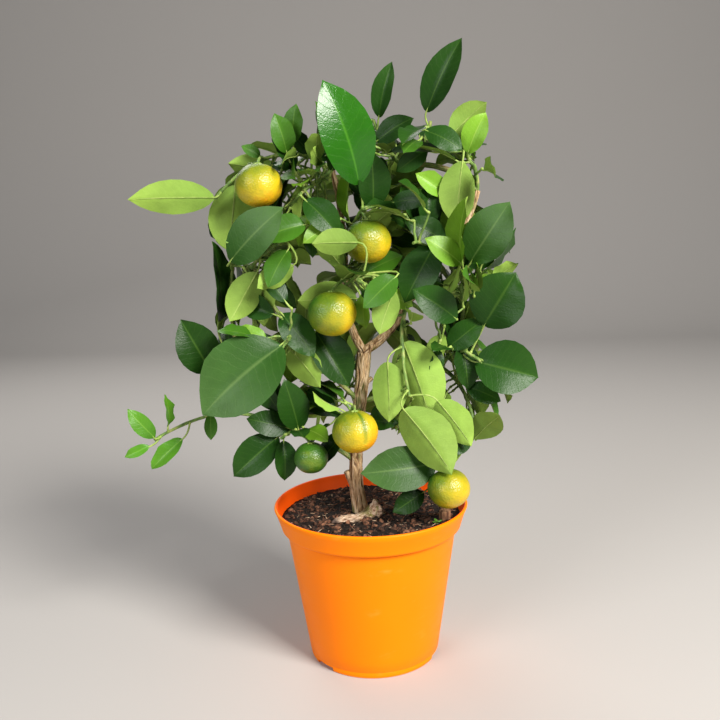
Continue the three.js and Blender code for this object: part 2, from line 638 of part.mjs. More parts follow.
// The soil fills the pot and rises in soft lumps to a level place round the trunk's foot.
function soilSolid() {
  const inset = WALL.thick + 2 * SEAM;
  const bandLow = POT.height - POT.band;
  const bandLean = (POT.rim - POT.bandFoot) / POT.band;
  const edge = POT.bandFoot - inset + (SOIL.edge - bandLow) * bandLean;
  const outline = [
    [0, WALL.floor + SEAM],
    [POT.base - inset, WALL.floor + SEAM],
    [POT.shoulder - inset - SEAM, bandLow - POT.step - WALL.thick],
    [POT.bandFoot - inset - SEAM, bandLow + SEAM],
    [edge, SOIL.edge],
  ];
  for (const share of [0.9, 0.74, 0.55, 0.36, 0.2]) outline.push([edge * share, SOIL.top]);
  outline.push([0, SOIL.top]);
  const turned = new THREE.LatheGeometry(outline.map(([r, z]) => new THREE.Vector2(r, z)), SOIL.sides);
  return reshape(turned.rotateX(Math.PI / 2), (x, y, z) => {
    const away = Math.hypot(x - FORKS.foot[0], y - FORKS.foot[1]);
    const lump = Math.sin(x / 5 + 2 * Math.cos(y / 9)) * Math.cos(y / 6 + Math.sin(x / 8));
    const raised = z > SOIL.edge && away > SOIL.foot ? z - 0.6 + lump * SOIL.lump : z;
    return new Vector3(x, y, raised);
  });
}

for (const name of Object.keys(MASSES)) growLeaders(name);
for (const name of Object.keys(MASSES)) growShoots(name);

const tree = new THREE.Group();
const soil = soilSolid();
const chipPath = new THREE.LineCurve3(vector(CHIP.from), vector(CHIP.to));
const chip = limb(chipPath, tapered(CHIP.foot, CHIP.tip), 7, 3);
tree.add(toMesh("pot", potSolid(), COLOURS.pot));
tree.add(toMesh("soil", soil, COLOURS.soil));
const bareChip = largest(chip.subtract(soil.translate([0, 0, SEAM])).subtract(trunkSolid(SEAM)));
tree.add(toMesh("bark_chip", bareChip, COLOURS.chip));
tree.add(toMesh("trunk", largest(trunkSolid()), COLOURS.bark));

// Each limb and each mass is cut clear of those before it.
let taken = trunkSolid(SEAM);
for (const [name, [from, to, foot, tip, bow]] of Object.entries(BOUGHS)) {
  const path = bowedPath(from, to, bow);
  tree.add(toMesh(name, largest(limb(path, tapered(foot, tip), 6, 4).subtract(taken)), COLOURS.bark));
  taken = taken.add(limb(path, tapered(foot, tip, SEAM), 6, 4, SEAM));
}
for (const name of Object.keys(MASSES)) {
  tree.add(toMesh(name, largest(massSolid(name).subtract(taken)), COLOURS.foliage));
  taken = taken.add(massSolid(name, SEAM));
}

export default tree;
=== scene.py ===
from math import atan2, cos, exp, hypot, pi, radians, sin, tau
from random import Random

import bmesh
import bpy
import numpy as np
from mathutils import Matrix, Vector, noise


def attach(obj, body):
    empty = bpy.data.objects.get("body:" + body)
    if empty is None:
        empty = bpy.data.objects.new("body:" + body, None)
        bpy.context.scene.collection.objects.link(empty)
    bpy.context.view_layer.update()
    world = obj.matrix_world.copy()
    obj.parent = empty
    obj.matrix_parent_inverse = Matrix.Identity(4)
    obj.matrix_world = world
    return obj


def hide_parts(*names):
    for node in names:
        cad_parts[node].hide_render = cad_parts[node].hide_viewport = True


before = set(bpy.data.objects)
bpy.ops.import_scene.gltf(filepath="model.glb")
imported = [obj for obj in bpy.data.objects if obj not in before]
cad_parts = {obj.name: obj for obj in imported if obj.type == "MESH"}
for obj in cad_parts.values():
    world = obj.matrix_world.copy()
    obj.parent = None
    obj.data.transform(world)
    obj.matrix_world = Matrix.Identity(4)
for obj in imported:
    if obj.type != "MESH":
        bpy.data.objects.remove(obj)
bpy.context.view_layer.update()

MM = 0.001

# The studio: one pale sheet that lies under the pot and curves up behind it, lit by a large soft
# lamp at the upper right front, a weaker one on the left and a low one from behind.
SHEET_WIDTH = 6.0
SHEET_FRONT = -2.0
SHEET_BACK = 1.6
SHEET_RISE = 3.0
SHEET_BEND = 0.7
CAMERA_PLACE = (-0.005, -0.6086, 0.3361)
CAMERA_TURN = (90 - 9.65, 0, 0)
CAMERA_ROLL = -1.72
CAMERA_LENS = 40.71

sheet = bmesh.new()
low_left = sheet.verts.new((-SHEET_WIDTH / 2, SHEET_FRONT, 0))
low_right = sheet.verts.new((SHEET_WIDTH / 2, SHEET_FRONT, 0))
front_edge = sheet.edges.new((low_left, low_right))
flat = bmesh.ops.extrude_edge_only(sheet, edges=[front_edge])["geom"]
bmesh.ops.translate(
    sheet, vec=(0, SHEET_BACK - SHEET_FRONT, 0),
    verts=[part for part in flat if isinstance(part, bmesh.types.BMVert)])
back_edge = [part for part in flat if isinstance(part, bmesh.types.BMEdge)]
bmesh.ops.spin(
    sheet, geom=back_edge, cent=(0, SHEET_BACK, SHEET_BEND), axis=(1, 0, 0), angle=pi / 2, steps=16)
top_edges = [edge for edge in sheet.edges if all(vert.co.z > SHEET_BEND * 0.999 for vert in edge.verts)]
wall = bmesh.ops.extrude_edge_only(sheet, edges=top_edges)["geom"]
bmesh.ops.translate(
    sheet, vec=(0, 0, SHEET_RISE), verts=[part for part in wall if isinstance(part, bmesh.types.BMVert)])
bmesh.ops.recalc_face_normals(sheet, faces=sheet.faces)


def keep_mesh(name, shape, smooth=True):
    """Makes an object of a bmesh, at the origin."""
    mesh = bpy.data.meshes.new(name)
    shape.to_mesh(mesh)
    shape.free()
    mesh.polygons.foreach_set("use_smooth", [smooth] * len(mesh.polygons))
    made = bpy.data.objects.new(name, mesh)
    bpy.context.collection.objects.link(made)
    return made


studio_sheet = keep_mesh("studio_sheet", sheet)


def new_material(name, roughness, **sockets):
    """A Principled material, and its nodes, links and shader."""
    material = bpy.data.materials.new(name)
    material.use_nodes = True
    nodes = material.node_tree.nodes
    shader = nodes["Principled BSDF"]
    shader.inputs["Roughness"].default_value = roughness
    for socket, value in sockets.items():
        shader.inputs[socket.replace("_", " ")].default_value = value
    return material, nodes, material.node_tree.links, shader


pale_paper, _, _, paper_shader = new_material("pale_paper", 0.9)
paper_shader.inputs["Base Color"].default_value = (0.44, 0.42, 0.40, 1)
studio_sheet.data.materials.append(pale_paper)


def soft_lamp(name, place, aim, width, power, colour):
    lamp = bpy.data.lights.new(name, "AREA")
    lamp.size = width
    lamp.energy = power
    lamp.color = colour
    lamp_object = bpy.data.objects.new(name, lamp)
    lamp_object.location = place
    lamp_object.rotation_euler = (Vector(aim) - Vector(place)).to_track_quat("-Z", "Y").to_euler()
    bpy.context.collection.objects.link(lamp_object)


soft_lamp("key_lamp", (1.0, -1.15, 1.25), (0, 0, 0.22), 0.7, 68, (1.0, 0.97, 0.92))
soft_lamp("fill_lamp", (-1.1, -1.2, 1.0), (0, 0, 0.24), 0.8, 15, (0.97, 0.98, 1.0))
soft_lamp("back_lamp", (-0.5, 1.2, 1.3), (0, 0, 0.3), 0.9, 10, (1.0, 0.98, 0.95))

sky = bpy.data.worlds.new("studio_air")
sky.use_nodes = True
sky.node_tree.nodes["Background"].inputs["Color"].default_value = (0.9, 0.93, 1.0, 1)
sky.node_tree.nodes["Background"].inputs["Strength"].default_value = 0.15
bpy.context.scene.world = sky

camera = bpy.data.cameras.new("camera")
camera.lens = CAMERA_LENS
camera.sensor_width = 36
camera.clip_start = 0.01
camera_object = bpy.data.objects.new("camera", camera)
camera_object.location = CAMERA_PLACE
tilt = Matrix.Rotation(radians(CAMERA_TURN[0]), 3, "X")
roll = Matrix.Rotation(radians(CAMERA_ROLL), 3, "Z")
camera_object.rotation_euler = (tilt @ roll).to_euler()
bpy.context.collection.objects.link(camera_object)
bpy.context.scene.camera = camera_object
bpy.context.scene.view_settings.view_transform = "Standard"

# The pot: a thin injection-moulded nursery pot in orange plastic, with a rolled bead on a wide rim
# band, a rounded step under the band, a plain sloping wall and three drainage notches at its foot.
POT_HEIGHT = 121
POT_RIM = 75
POT_BAND_FOOT = 70
POT_BAND = 15.6
POT_SHOULDER = 65.9
POT_STEP = 2.4
POT_BASE = 50.5
POT_FOOT_RING = 4.2
WALL_THICK = 1.6
POT_FLOOR = 5
RIM_BEAD = 1.3
POT_STEPS = 144
NOTCH_BEARINGS = (100, 220, 340)
NOTCH_WIDTH = 18
NOTCH_HEIGHT = 3.4
NOTCH_DEPTH = 3.6
POT_ORANGE = (1.0, 0.25, 0.0, 1)
POT_ORANGE_DEEP = (1.0, 0.20, 0.0, 1)
# The inside red is painted light: a deeper red for the inner wall above the soil, standing for light that shines
# through the thin orange wall into the shaded inside.
POT_INSIDE_PAINTED_LIGHT = (1.0, 0.10, 0.0, 1)
POT_INSIDE_LOW = 100

band_low = POT_HEIGHT - POT_BAND
wall_run = (POT_SHOULDER - POT_BASE) / (band_low - POT_STEP)
section = [
    (0, 0.8), (POT_BASE - 4, 0.8), (POT_BASE - 3.2, 0), (POT_BASE - 0.7, 0), (POT_BASE - 0.1, 0.5),
    (POT_BASE + POT_FOOT_RING * wall_run, POT_FOOT_RING),
    (POT_BASE + (POT_FOOT_RING + 0.5) * wall_run - 0.25, POT_FOOT_RING + 0.4),
    (POT_BASE + (POT_FOOT_RING + 1) * wall_run, POT_FOOT_RING + 0.9),
]
for step in range(1, 12):
    height = POT_FOOT_RING + 1 + (band_low - POT_STEP - 2 - POT_FOOT_RING) * step / 11
    section.append((POT_BASE + height * wall_run, height))
section += [
    (POT_SHOULDER + 0.1, band_low - POT_STEP),
    (POT_SHOULDER + 2.2, band_low - POT_STEP + 0.1),
    (POT_BAND_FOOT - 0.9, band_low - POT_STEP + 0.6),
    (POT_BAND_FOOT - 0.2, band_low - 1),
    (POT_BAND_FOOT, band_low),
    (POT_BAND_FOOT + 1.6, band_low + 5),
    (POT_BAND_FOOT + 3.2, band_low + 10),
]
for turn in range(0, 181, 30):
    section.append((
        POT_RIM - RIM_BEAD + RIM_BEAD * cos(radians(turn)),
        POT_HEIGHT - RIM_BEAD + RIM_BEAD * sin(radians(turn))))
section += [
    (POT_RIM - RIM_BEAD - 1.6, POT_HEIGHT - 3.4),
    (POT_BAND_FOOT - WALL_THICK, band_low),
    (POT_SHOULDER - WALL_THICK, band_low - POT_STEP - WALL_THICK),
    (POT_BASE - WALL_THICK, POT_FLOOR),
    (0, POT_FLOOR),
]


def turned(points, steps):
    """A closed shape spun about the upright axis from a half section in millimetres."""
    shape = bmesh.new()
    verts = [shape.verts.new((out * MM, 0, up * MM)) for out, up in points]
    edges = [shape.edges.new(pair) for pair in zip(verts, verts[1:])]
    bmesh.ops.spin(
        shape, geom=verts + edges, cent=(0, 0, 0), axis=(0, 0, 1), angle=tau, steps=steps,
        use_merge=True, use_duplicate=False)
    bmesh.ops.remove_doubles(shape, verts=shape.verts, dist=1e-6)
    bmesh.ops.recalc_face_normals(shape, faces=shape.faces)
    return shape


pot_mould = keep_mesh("pot_mould", turned(section, POT_STEPS))
notch_shape = bmesh.new()
for bearing in NOTCH_BEARINGS:
    block = bmesh.ops.create_cube(notch_shape, size=1)["verts"]
    bmesh.ops.scale(
        notch_shape, verts=block, vec=(NOTCH_DEPTH * 2 * MM, NOTCH_WIDTH * MM, NOTCH_HEIGHT * 2 * MM))
    bmesh.ops.translate(notch_shape, verts=block, vec=(POT_BASE * MM, 0, 0))
    bmesh.ops.rotate(
        notch_shape, verts=block, cent=(0, 0, 0), matrix=Matrix.Rotation(radians(bearing), 3, "Z"))
notch_blocks = keep_mesh("notch_blocks", notch_shape, smooth=False)
cut = pot_mould.modifiers.new("notches", "BOOLEAN")
cut.operation = "DIFFERENCE"
cut.object = notch_blocks
cut.solver = "EXACT"
bpy.context.view_layer.update()
cut_pot = bpy.data.meshes.new_from_object(pot_mould.evaluated_get(bpy.context.evaluated_depsgraph_get()))
cut_pot.name = "nursery_pot"
bpy.data.objects.remove(pot_mould)
bpy.data.objects.remove(notch_blocks)
nursery_pot = bpy.data.objects.new("nursery_pot", cut_pot)
bpy.context.collection.objects.link(nursery_pot)
cut_pot.set_sharp_from_angle(angle=radians(38))


def noise_node(nodes, links, source, scale, detail=4.0, rough=0.55, stretch=None):
    """A noise texture on a vector output, stretched where asked."""
    texture = nodes.new("ShaderNodeTexNoise")
    texture.inputs["Scale"].default_value = scale
    texture.inputs["Detail"].default_value = detail
    texture.inputs["Roughness"].default_value = rough
    if stretch:
        mapping = nodes.new("ShaderNodeMapping")
        mapping.inputs["Scale"].default_value = stretch
        links.new(source, mapping.inputs["Vector"])
        source = mapping.outputs["Vector"]
    links.new(source, texture.inputs["Vector"])
    return texture.outputs["Fac"]


def ramp_node(nodes, links, source, *stops):
    """A colour ramp of (place, colour) stops."""
    ramp = nodes.new("ShaderNodeValToRGB")
    elements = ramp.color_ramp.elements
    while len(elements) < len(stops):
        elements.new(0.5)
    for element, (place, colour) in zip(elements, stops):
        element.position = place
        element.color = colour if len(colour) == 4 else (*colour, 1)
    links.new(source, ramp.inputs["Fac"])
    return ramp.outputs["Color"]


def mix_node(nodes, links, mask, first, second):
    """Mixes two colours, each a colour or an output, by a mask."""
    mix = nodes.new("ShaderNodeMix")
    mix.data_type = "RGBA"
    links.new(mask, mix.inputs["Factor"])
    for value, socket in ((first, mix.inputs[6]), (second, mix.inputs[7])):
        if isinstance(value, bpy.types.NodeSocket):
            links.new(value, socket)
        else:
            socket.default_value = value if len(value) == 4 else (*value, 1)
    return mix.outputs[2]


def bump_node(nodes, links, shader, height, strength, distance):
    bump = nodes.new("ShaderNodeBump")
    bump.inputs["Strength"].default_value = strength
    bump.inputs["Distance"].default_value = distance
    links.new(height, bump.inputs["Height"])
    links.new(bump.outputs["Normal"], shader.inputs["Normal"])


pot_plastic, nodes, links, shader = new_material("pot_plastic", 0.42, Specular_IOR_Level=0.12)
place = nodes.new("ShaderNodeTexCoord").outputs["Object"]
clouds = noise_node(nodes, links, place, 14, detail=3)
smudges = noise_node(nodes, links, place, 60, detail=6, stretch=(1, 1, 2.5))
orange = mix_node(nodes, links, clouds, POT_ORANGE_DEEP, POT_ORANGE)
smudge_mask = ramp_node(nodes, links, smudges, (0.62, (0, 0, 0)), (0.8, (0.35, 0.35, 0.35)))
links.new(mix_node(nodes, links, smudge_mask, orange, (1.0, 0.36, 0.06)), shader.inputs["Base Color"])
gloss = ramp_node(nodes, links, smudges, (0.3, (0.36, 0.36, 0.36)), (0.8, (0.55, 0.55, 0.55)))
links.new(gloss, shader.inputs["Roughness"])
grain = noise_node(nodes, links, place, 900, detail=2)
bump_node(nodes, links, shader, grain, 0.12, 0.0002)
cut_pot.materials.clear()
cut_pot.materials.append(pot_plastic)
# The inner wall above POT_INSIDE_LOW gets a copy of the plastic in deeper red: painted light, for light shining through
# the wall into the shade inside the pot.
pot_inside_painted_light, _, _, shader = new_material("pot_inside_painted_light", 0.5, Specular_IOR_Level=0.2)
shader.inputs["Base Color"].default_value = POT_INSIDE_PAINTED_LIGHT
cut_pot.materials.append(pot_inside_painted_light)
for face in cut_pot.polygons:
    outward = face.center.x * face.normal.x + face.center.y * face.normal.y
    if outward < 0 and face.center.z > POT_INSIDE_LOW * MM:
        face.material_index = 1
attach(nursery_pot, "root")
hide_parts("pot")

# The soil: dark potting compost of composted bark, filling the pot to just under the rim band. Its
# top is crumbly and a little mounded, with reddish fibres, splinters and bark chips lying on it.
SOIL_TOP = 111.5
SOIL_EDGE = 110.2
SOIL_INSET = 2.2
SOIL_RINGS = 44
SOIL_STEPS = 220
SOIL_LUMP = 1
TRUNK_FOOT = (-6.8, 4)
FIBRES = 900
FIBRE_LENGTH = (4, 15)
CRUMBS = 1000
FLAKES = 210
FLAKE_LENGTH = (3.5, 11)
CHUNKS = 70
CHUNK_LENGTH = (5, 11)
CRUMB_SIZE = (0.7, 2.4)

soil_inside = POT_BAND_FOOT - SOIL_INSET + (SOIL_EDGE - band_low) * (POT_RIM - POT_BAND_FOOT) / POT_BAND
soil_section = [
    (0, POT_FLOOR + 0.3),
    (POT_BASE - SOIL_INSET, POT_FLOOR + 0.3),
    (POT_SHOULDER - SOIL_INSET - 0.3, band_low - POT_STEP - WALL_THICK),
    (POT_BAND_FOOT - SOIL_INSET - 0.3, band_low + 0.3),
]
for ring in range(SOIL_RINGS + 1):
    share = 1 - ring / SOIL_RINGS
    soil_section.append((soil_inside * share, SOIL_EDGE + (SOIL_TOP - SOIL_EDGE) * min(1, 4 * (1 - share))))


def soil_height(across, back):
    """The height of the soil's top in millimetres."""
    lump = sin(across / 5 + 2 * cos(back / 9)) * cos(back / 6 + sin(across / 8))
    crumb = noise.fractal(Vector((across, back, 3)) / 4.5, 0.9, 2.1, 5)
    edge = min(1, max(0, (soil_inside - hypot(across, back)) / 5))
    away = min(1, max(0, hypot(across - TRUNK_FOOT[0], back - TRUNK_FOOT[1]) - 7) / 6)
    return SOIL_EDGE + (SOIL_TOP - SOIL_EDGE - 0.4) * edge + (lump * SOIL_LUMP * edge + 0.75 * crumb) * away


soil_shape = turned(soil_section, SOIL_STEPS)
for vert in soil_shape.verts:
    if vert.co.z > (SOIL_EDGE - 0.1) * MM:
        vert.co.z = soil_height(vert.co.x / MM, vert.co.y / MM) * MM
compost = keep_mesh("compost", soil_shape)
soil_earth, nodes, links, shader = new_material("soil_earth", 0.92, Specular_IOR_Level=0.25)
place = nodes.new("ShaderNodeTexCoord").outputs["Object"]
crumbs_fine = noise_node(nodes, links, place, 700, detail=6, rough=0.7)
crumbs_wide = noise_node(nodes, links, place, 160, detail=4)
# The fine crumbs run from nearly black where the noise sinks, which the bump also sinks, to brown where it rises:
# painted shade in the hollows between crumbs, over the compost's own dark brown.
earth_with_gap_shade = ramp_node(
    nodes, links, crumbs_fine,
    (0.42, (0.002, 0.0015, 0.001)), (0.55, (0.010, 0.006, 0.004)), (0.66, (0.045, 0.024, 0.014)),
    (0.75, (0.16, 0.095, 0.055)))
links.new(mix_node(nodes, links, crumbs_wide, earth_with_gap_shade, (0.014, 0.008, 0.005)), shader.inputs["Base Color"])
bump_node(nodes, links, shader, crumbs_fine, 0.9, 0.0012)
compost.data.materials.append(soil_earth)
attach(compost, "root")
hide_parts("soil")


def joined(name, unit_shape, moved, smooth=True):
    """Joins one copy of a small mesh for each set of corners, in metres."""
    corners = len(unit_shape.verts)
    faces = [[vert.index for vert in face.verts] for face in unit_shape.faces]
    skins = [face.material_index for face in unit_shape.faces]
    unit_shape.free()
    mesh = bpy.data.meshes.new(name)
    every = [[index + copy * corners for index in face] for copy in range(len(moved)) for face in faces]
    mesh.from_pydata(moved.reshape(-1, 3).tolist(), [], every)
    mesh.polygons.foreach_set("use_smooth", [smooth] * len(mesh.polygons))
    mesh.polygons.foreach_set("material_index", skins * len(moved))
    made = bpy.data.objects.new(name, mesh)
    bpy.context.collection.objects.link(made)
    return made


def strewn(name, unit_shape, places):
    """Joins a copy of one small mesh for each 4 by 4 matrix in places."""
    corners = np.array([vert.co[:] for vert in unit_shape.verts])
    turns = np.array([[list(row) for row in matrix] for matrix in places])
    return joined(name, unit_shape, np.einsum("nij,vj->nvi", turns[:, :3, :3], corners) + turns[:, None, :3, 3])


def littered(draw, count, low, high, across, thick, lift):
    """Places of splinters or crumbs that lie at random on the soil."""
    places = []
    while len(places) < count:
        out = soil_inside * 0.96 * draw.random() ** 0.5
        bearing = draw.random() * tau
        right, back = out * cos(bearing), out * sin(bearing)
        if hypot(right - TRUNK_FOOT[0], back - TRUNK_FOOT[1]) < 7.5:
            continue
        size = low + (high - low) * draw.random() ** 2
        if out + size * 0.55 > soil_inside:
            continue
        spin = Matrix.Rotation(draw.random() * tau, 4, "Z")
        lean = Matrix.Rotation(draw.gauss(0, 0.22), 4, "Y") @ Matrix.Rotation(draw.random() * tau, 4, "X")
        wide = across * (0.6 + 0.9 * draw.random())
        scale = Matrix.Diagonal((size * MM, wide * MM, wide * thick * MM, 1))
        spot = Matrix.Translation((right * MM, back * MM, (soil_height(right, back) + lift) * MM))
        places.append(spot @ spin @ lean @ scale)
    return places


litter_draw = Random(5)
for name, colour, dark, count, low, high, across in (
        ("fibres_red", (0.24, 0.09, 0.045), (0.06, 0.022, 0.012), FIBRES // 2, *FIBRE_LENGTH, 0.7),
        ("fibres_tan", (0.66, 0.48, 0.32), (0.30, 0.18, 0.10), FIBRES // 6, *FIBRE_LENGTH, 0.55),
        ("bark_flakes", (0.13, 0.056, 0.030), (0.010, 0.006, 0.004), FLAKES, *FLAKE_LENGTH, 3.2),
        ("fibres_dark", (0.028, 0.017, 0.011), (0.010, 0.006, 0.004), FIBRES // 2, *FIBRE_LENGTH, 0.9),
        ("bark_chunks", (0.24, 0.105, 0.055), (0.014, 0.008, 0.005), CHUNKS, *CHUNK_LENGTH, 5),
        ("crumbs_brown", (0.06, 0.032, 0.02), (0.008, 0.005, 0.004), CRUMBS, *CRUMB_SIZE, 1.3)):
    splinter = bmesh.new()
    bmesh.ops.create_icosphere(splinter, subdivisions=1, radius=0.5)
    for vert in splinter.verts:
        vert.co.y += 0.35 * vert.co.x ** 2
        vert.co.z += 0.12 * sin(7 * vert.co.x)
    litter = strewn(name, splinter, littered(litter_draw, count, low, high, across, 0.7, 0.15))
    bark_bits, nodes, links, shader = new_material(name, 0.88, Specular_IOR_Level=0.3)
    place = nodes.new("ShaderNodeTexCoord").outputs["Object"]
    streaks = noise_node(nodes, links, place, 420, detail=5)
    links.new(ramp_node(nodes, links, streaks, (0.38, dark), (0.66, colour)), shader.inputs["Base Color"])
    bump_node(nodes, links, shader, streaks, 0.5, 0.0004)
    litter.data.materials.append(bark_bits)
    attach(litter, "root")

# The sprout and the stick: a weed seedling with two pairs of small leaves, and a broken brown stick
# pushed upright into the soil beside it.
SPROUT_PLACE = (49, -29)
STICK_PLACE = (56, -17)
STICK_RADIUS = 4.6
STICK_RISE = 6

stick_shape = bmesh.new()
bmesh.ops.create_cone(
    stick_shape, cap_ends=True, segments=28, radius1=STICK_RADIUS * MM, radius2=STICK_RADIUS * 0.9 * MM,
    depth=2 * STICK_RISE * MM)
bmesh.ops.bevel(
    stick_shape, geom=stick_shape.edges[:], offset=0.4 * MM, offset_type="OFFSET", segments=2, profile=0.5,
    affect="EDGES", material=-1)
for vert in stick_shape.verts:
    grain = 0.5 * MM * noise.noise(Vector((vert.co.x * 900, vert.co.y * 900, 0)))
    vert.co += Vector((grain, grain, 3 * grain if vert.co.z > 0 else 0))
bmesh.ops.translate(
    stick_shape, verts=stick_shape.verts,
    vec=(STICK_PLACE[0] * MM, STICK_PLACE[1] * MM, soil_height(*STICK_PLACE) * MM))
stick = keep_mesh("brown_stick", stick_shape)
stick.data.set_sharp_from_angle(angle=radians(50))
stick_wood, nodes, links, shader = new_material("stick_wood", 0.85, Specular_IOR_Level=0.25)
place = nodes.new("ShaderNodeTexCoord").outputs["Object"]
streaks = noise_node(nodes, links, place, 500, detail=5, stretch=(1, 1, 0.2))
links.new(
    ramp_node(nodes, links, streaks, (0.38, (0.07, 0.03, 0.015)), (0.64, (0.33, 0.18, 0.09))),
    shader.inputs["Base Color"])
bump_node(nodes, links, shader, streaks, 0.6, 0.0004)
stick.data.materials.append(stick_wood)
sprout_shape = bmesh.new()
bmesh.ops.create_uvsphere(sprout_shape, u_segments=10, v_segments=8, radius=0.5)
sprout_foot = Matrix.Translation(Vector((*SPROUT_PLACE, soil_height(*SPROUT_PLACE))) * MM)
sprout_parts = [sprout_foot @ Matrix.Translation((0, 0, 0.6 * MM)) @ Matrix.Diagonal((0.8 * MM, 0.8 * MM, 4 * MM, 1))]
for turn in range(4):
    spread = Matrix.Rotation(tau * turn / 4 + 0.4, 4, "Z") @ Matrix.Rotation(radians(-16), 4, "Y")
    reach = Matrix.Translation((2.2 * MM, 0, 0)) @ Matrix.Diagonal((4.2 * MM, 2.4 * MM, 0.5 * MM, 1))
    sprout_parts.append(sprout_foot @ Matrix.Translation((0, 0, (1.6 + 0.5 * (turn % 2)) * MM)) @ spread @ reach)
sprout = strewn("green_sprout", sprout_shape, sprout_parts)
sprout_green, _, _, shader = new_material("sprout_green", 0.5, Specular_IOR_Level=0.3)
shader.inputs["Base Color"].default_value = (0.10, 0.27, 0.02, 1)
sprout.data.materials.append(sprout_green)
for piece in (stick, sprout):
    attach(piece, "root")

# The root chip: a pale splinter of broken root that lies on the soil in front of the trunk, thick and
# mossy at its right end and worn to a dark point at its left.
CHIP_LEFT = (-30, -24, 113)
CHIP_RIGHT = (9, -8, 115)
CHIP_RADII = (1.9, 4.9)
CHIP_PEAK = 5.5


def frames_along(points):
    """Unit tangents and two cross directions that turn as little as they can along a path."""
    tangents = np.gradient(points, axis=0)
    tangents /= np.linalg.norm(tangents, axis=1)[:, None]
    start = np.cross(tangents[0], (0, 1, 0) if abs(tangents[0][1]) < 0.9 else (1, 0, 0))
    firsts = [start / np.linalg.norm(start)]
    for tangent in tangents[1:]:
        turned_on = firsts[-1] - tangent * np.dot(firsts[-1], tangent)
        firsts.append(turned_on / np.linalg.norm(turned_on))
    firsts = np.array(firsts)
    return tangents, firsts, np.cross(tangents, firsts)


RIDGES = 4.4


def furrows(angle, run, fineness):
    """Relief of furrowed bark, from -1 to 1: long ridges that part and meet."""
    bend = 0.5 * noise.noise(Vector((cos(angle), sin(angle), run / 12)))
    ridge = noise.noise(Vector((fineness * cos(angle + bend), fineness * sin(angle + bend), run / 11)))
    fine = noise.noise(Vector((2.4 * fineness * cos(angle), 2.4 * fineness * sin(angle), run / 5)))
    return 1.3 * (0.5 - 2.2 * abs(ridge)) + 0.45 * fine


def bark_tube(shape, points, around, radius_at):
    """Rolls a grid into a closed tube along a path in millimetres. radius_at(share, angle, run)."""
    steps = len(points) - 1
    tangents, firsts, seconds = frames_along(points)
    runs = np.concatenate([[0], np.cumsum(np.linalg.norm(np.diff(points, axis=0), axis=1))])
    ridge = shape.verts.layers.float.get("ridge") or shape.verts.layers.float.new("ridge")
    made = bmesh.ops.create_grid(shape, x_segments=around, y_segments=steps, size=0.5, calc_uvs=True)["verts"]
    for vert in made:
        row = round((vert.co.y + 0.5) * steps)
        angle = tau * (vert.co.x + 0.5)
        radius = radius_at(row / steps, angle, runs[row])
        vert[ridge] = 0.5 + 0.5 * furrows(angle, runs[row], RIDGES)
        aside = cos(angle) * firsts[row] + sin(angle) * seconds[row]
        vert.co = Vector((points[row] + radius * aside) * MM)
    bmesh.ops.remove_doubles(shape, verts=made, dist=1e-7)
    rims = [edge for edge in shape.edges if edge.is_boundary]
    bmesh.ops.holes_fill(shape, edges=rims, sides=0)


chip_shape = bmesh.new()
chip_shape.loops.layers.uv.new("grain")
chip_line = np.linspace(CHIP_LEFT, CHIP_RIGHT, 70)
chip_line[:, 2] += 0.9 * np.sin(np.linspace(0, 9, 70))
chip_sides = [side[35] for side in frames_along(chip_line)[1:]]


def chip_up(angle):
    """How far the chip's side at an angle faces up, from -1 to 1."""
    return float(cos(angle) * chip_sides[0][2] + sin(angle) * chip_sides[1][2])


def chip_radius(share, angle, run):
    grain = noise.noise(Vector((3 * cos(angle), 3 * sin(angle), run / 9)))
    broken = noise.noise(Vector((cos(angle), sin(angle), run / 3 + 7)))
    end = min(1, 12 * (1 - share) + 0.25) * min(1, 9 * share + 0.2)
    ragged = 0.6 + 0.9 * noise.noise(Vector((share * 30, angle * 2, 1)))
    peak = CHIP_PEAK * ragged * exp(-((share - 0.84) / 0.1) ** 2) * max(0, chip_up(angle)) ** 2
    return (CHIP_RADII[0] + (CHIP_RADII[1] - CHIP_RADII[0]) * share) * end * (0.95 + 0.3 * grain + 0.4 * broken) + peak


bark_tube(chip_shape, chip_line, 36, chip_radius)
bmesh.ops.recalc_face_normals(chip_shape, faces=chip_shape.faces)
root_chip = keep_mesh("root_chip", chip_shape)
chip_wood, nodes, links, shader = new_material("chip_wood", 0.85, Specular_IOR_Level=0.3)
coords = nodes.new("ShaderNodeTexCoord")
streaks = noise_node(nodes, links, coords.outputs["UV"], 9, detail=6, stretch=(5, 1.2, 1))
patches = noise_node(nodes, links, coords.outputs["Object"], 150, detail=4)
pale = ramp_node(
    nodes, links, streaks, (0.34, (0.045, 0.022, 0.013)), (0.45, (0.36, 0.21, 0.12)), (0.60, (0.74, 0.57, 0.42)))
moss_mask = ramp_node(nodes, links, patches, (0.50, (0, 0, 0)), (0.60, (0.9, 0.9, 0.9)))
mossy = mix_node(nodes, links, moss_mask, pale, (0.20, 0.19, 0.04))
chip_run = nodes.new("ShaderNodeSeparateXYZ")
links.new(coords.outputs["UV"], chip_run.inputs[0])
moss_end = ramp_node(nodes, links, chip_run.outputs["Y"], (0.45, (0, 0, 0)), (0.75, (1, 1, 1)))
tip_mask = ramp_node(nodes, links, chip_run.outputs["Y"], (0.06, (0.9, 0.9, 0.9)), (0.2, (0, 0, 0)))
body = mix_node(nodes, links, moss_end, pale, mossy)
links.new(mix_node(nodes, links, tip_mask, body, (0.06, 0.04, 0.035)), shader.inputs["Base Color"])
bump_node(nodes, links, shader, streaks, 0.8, 0.0008)
root_chip.data.materials.append(chip_wood)
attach(root_chip, "root")
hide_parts("bark_chip")

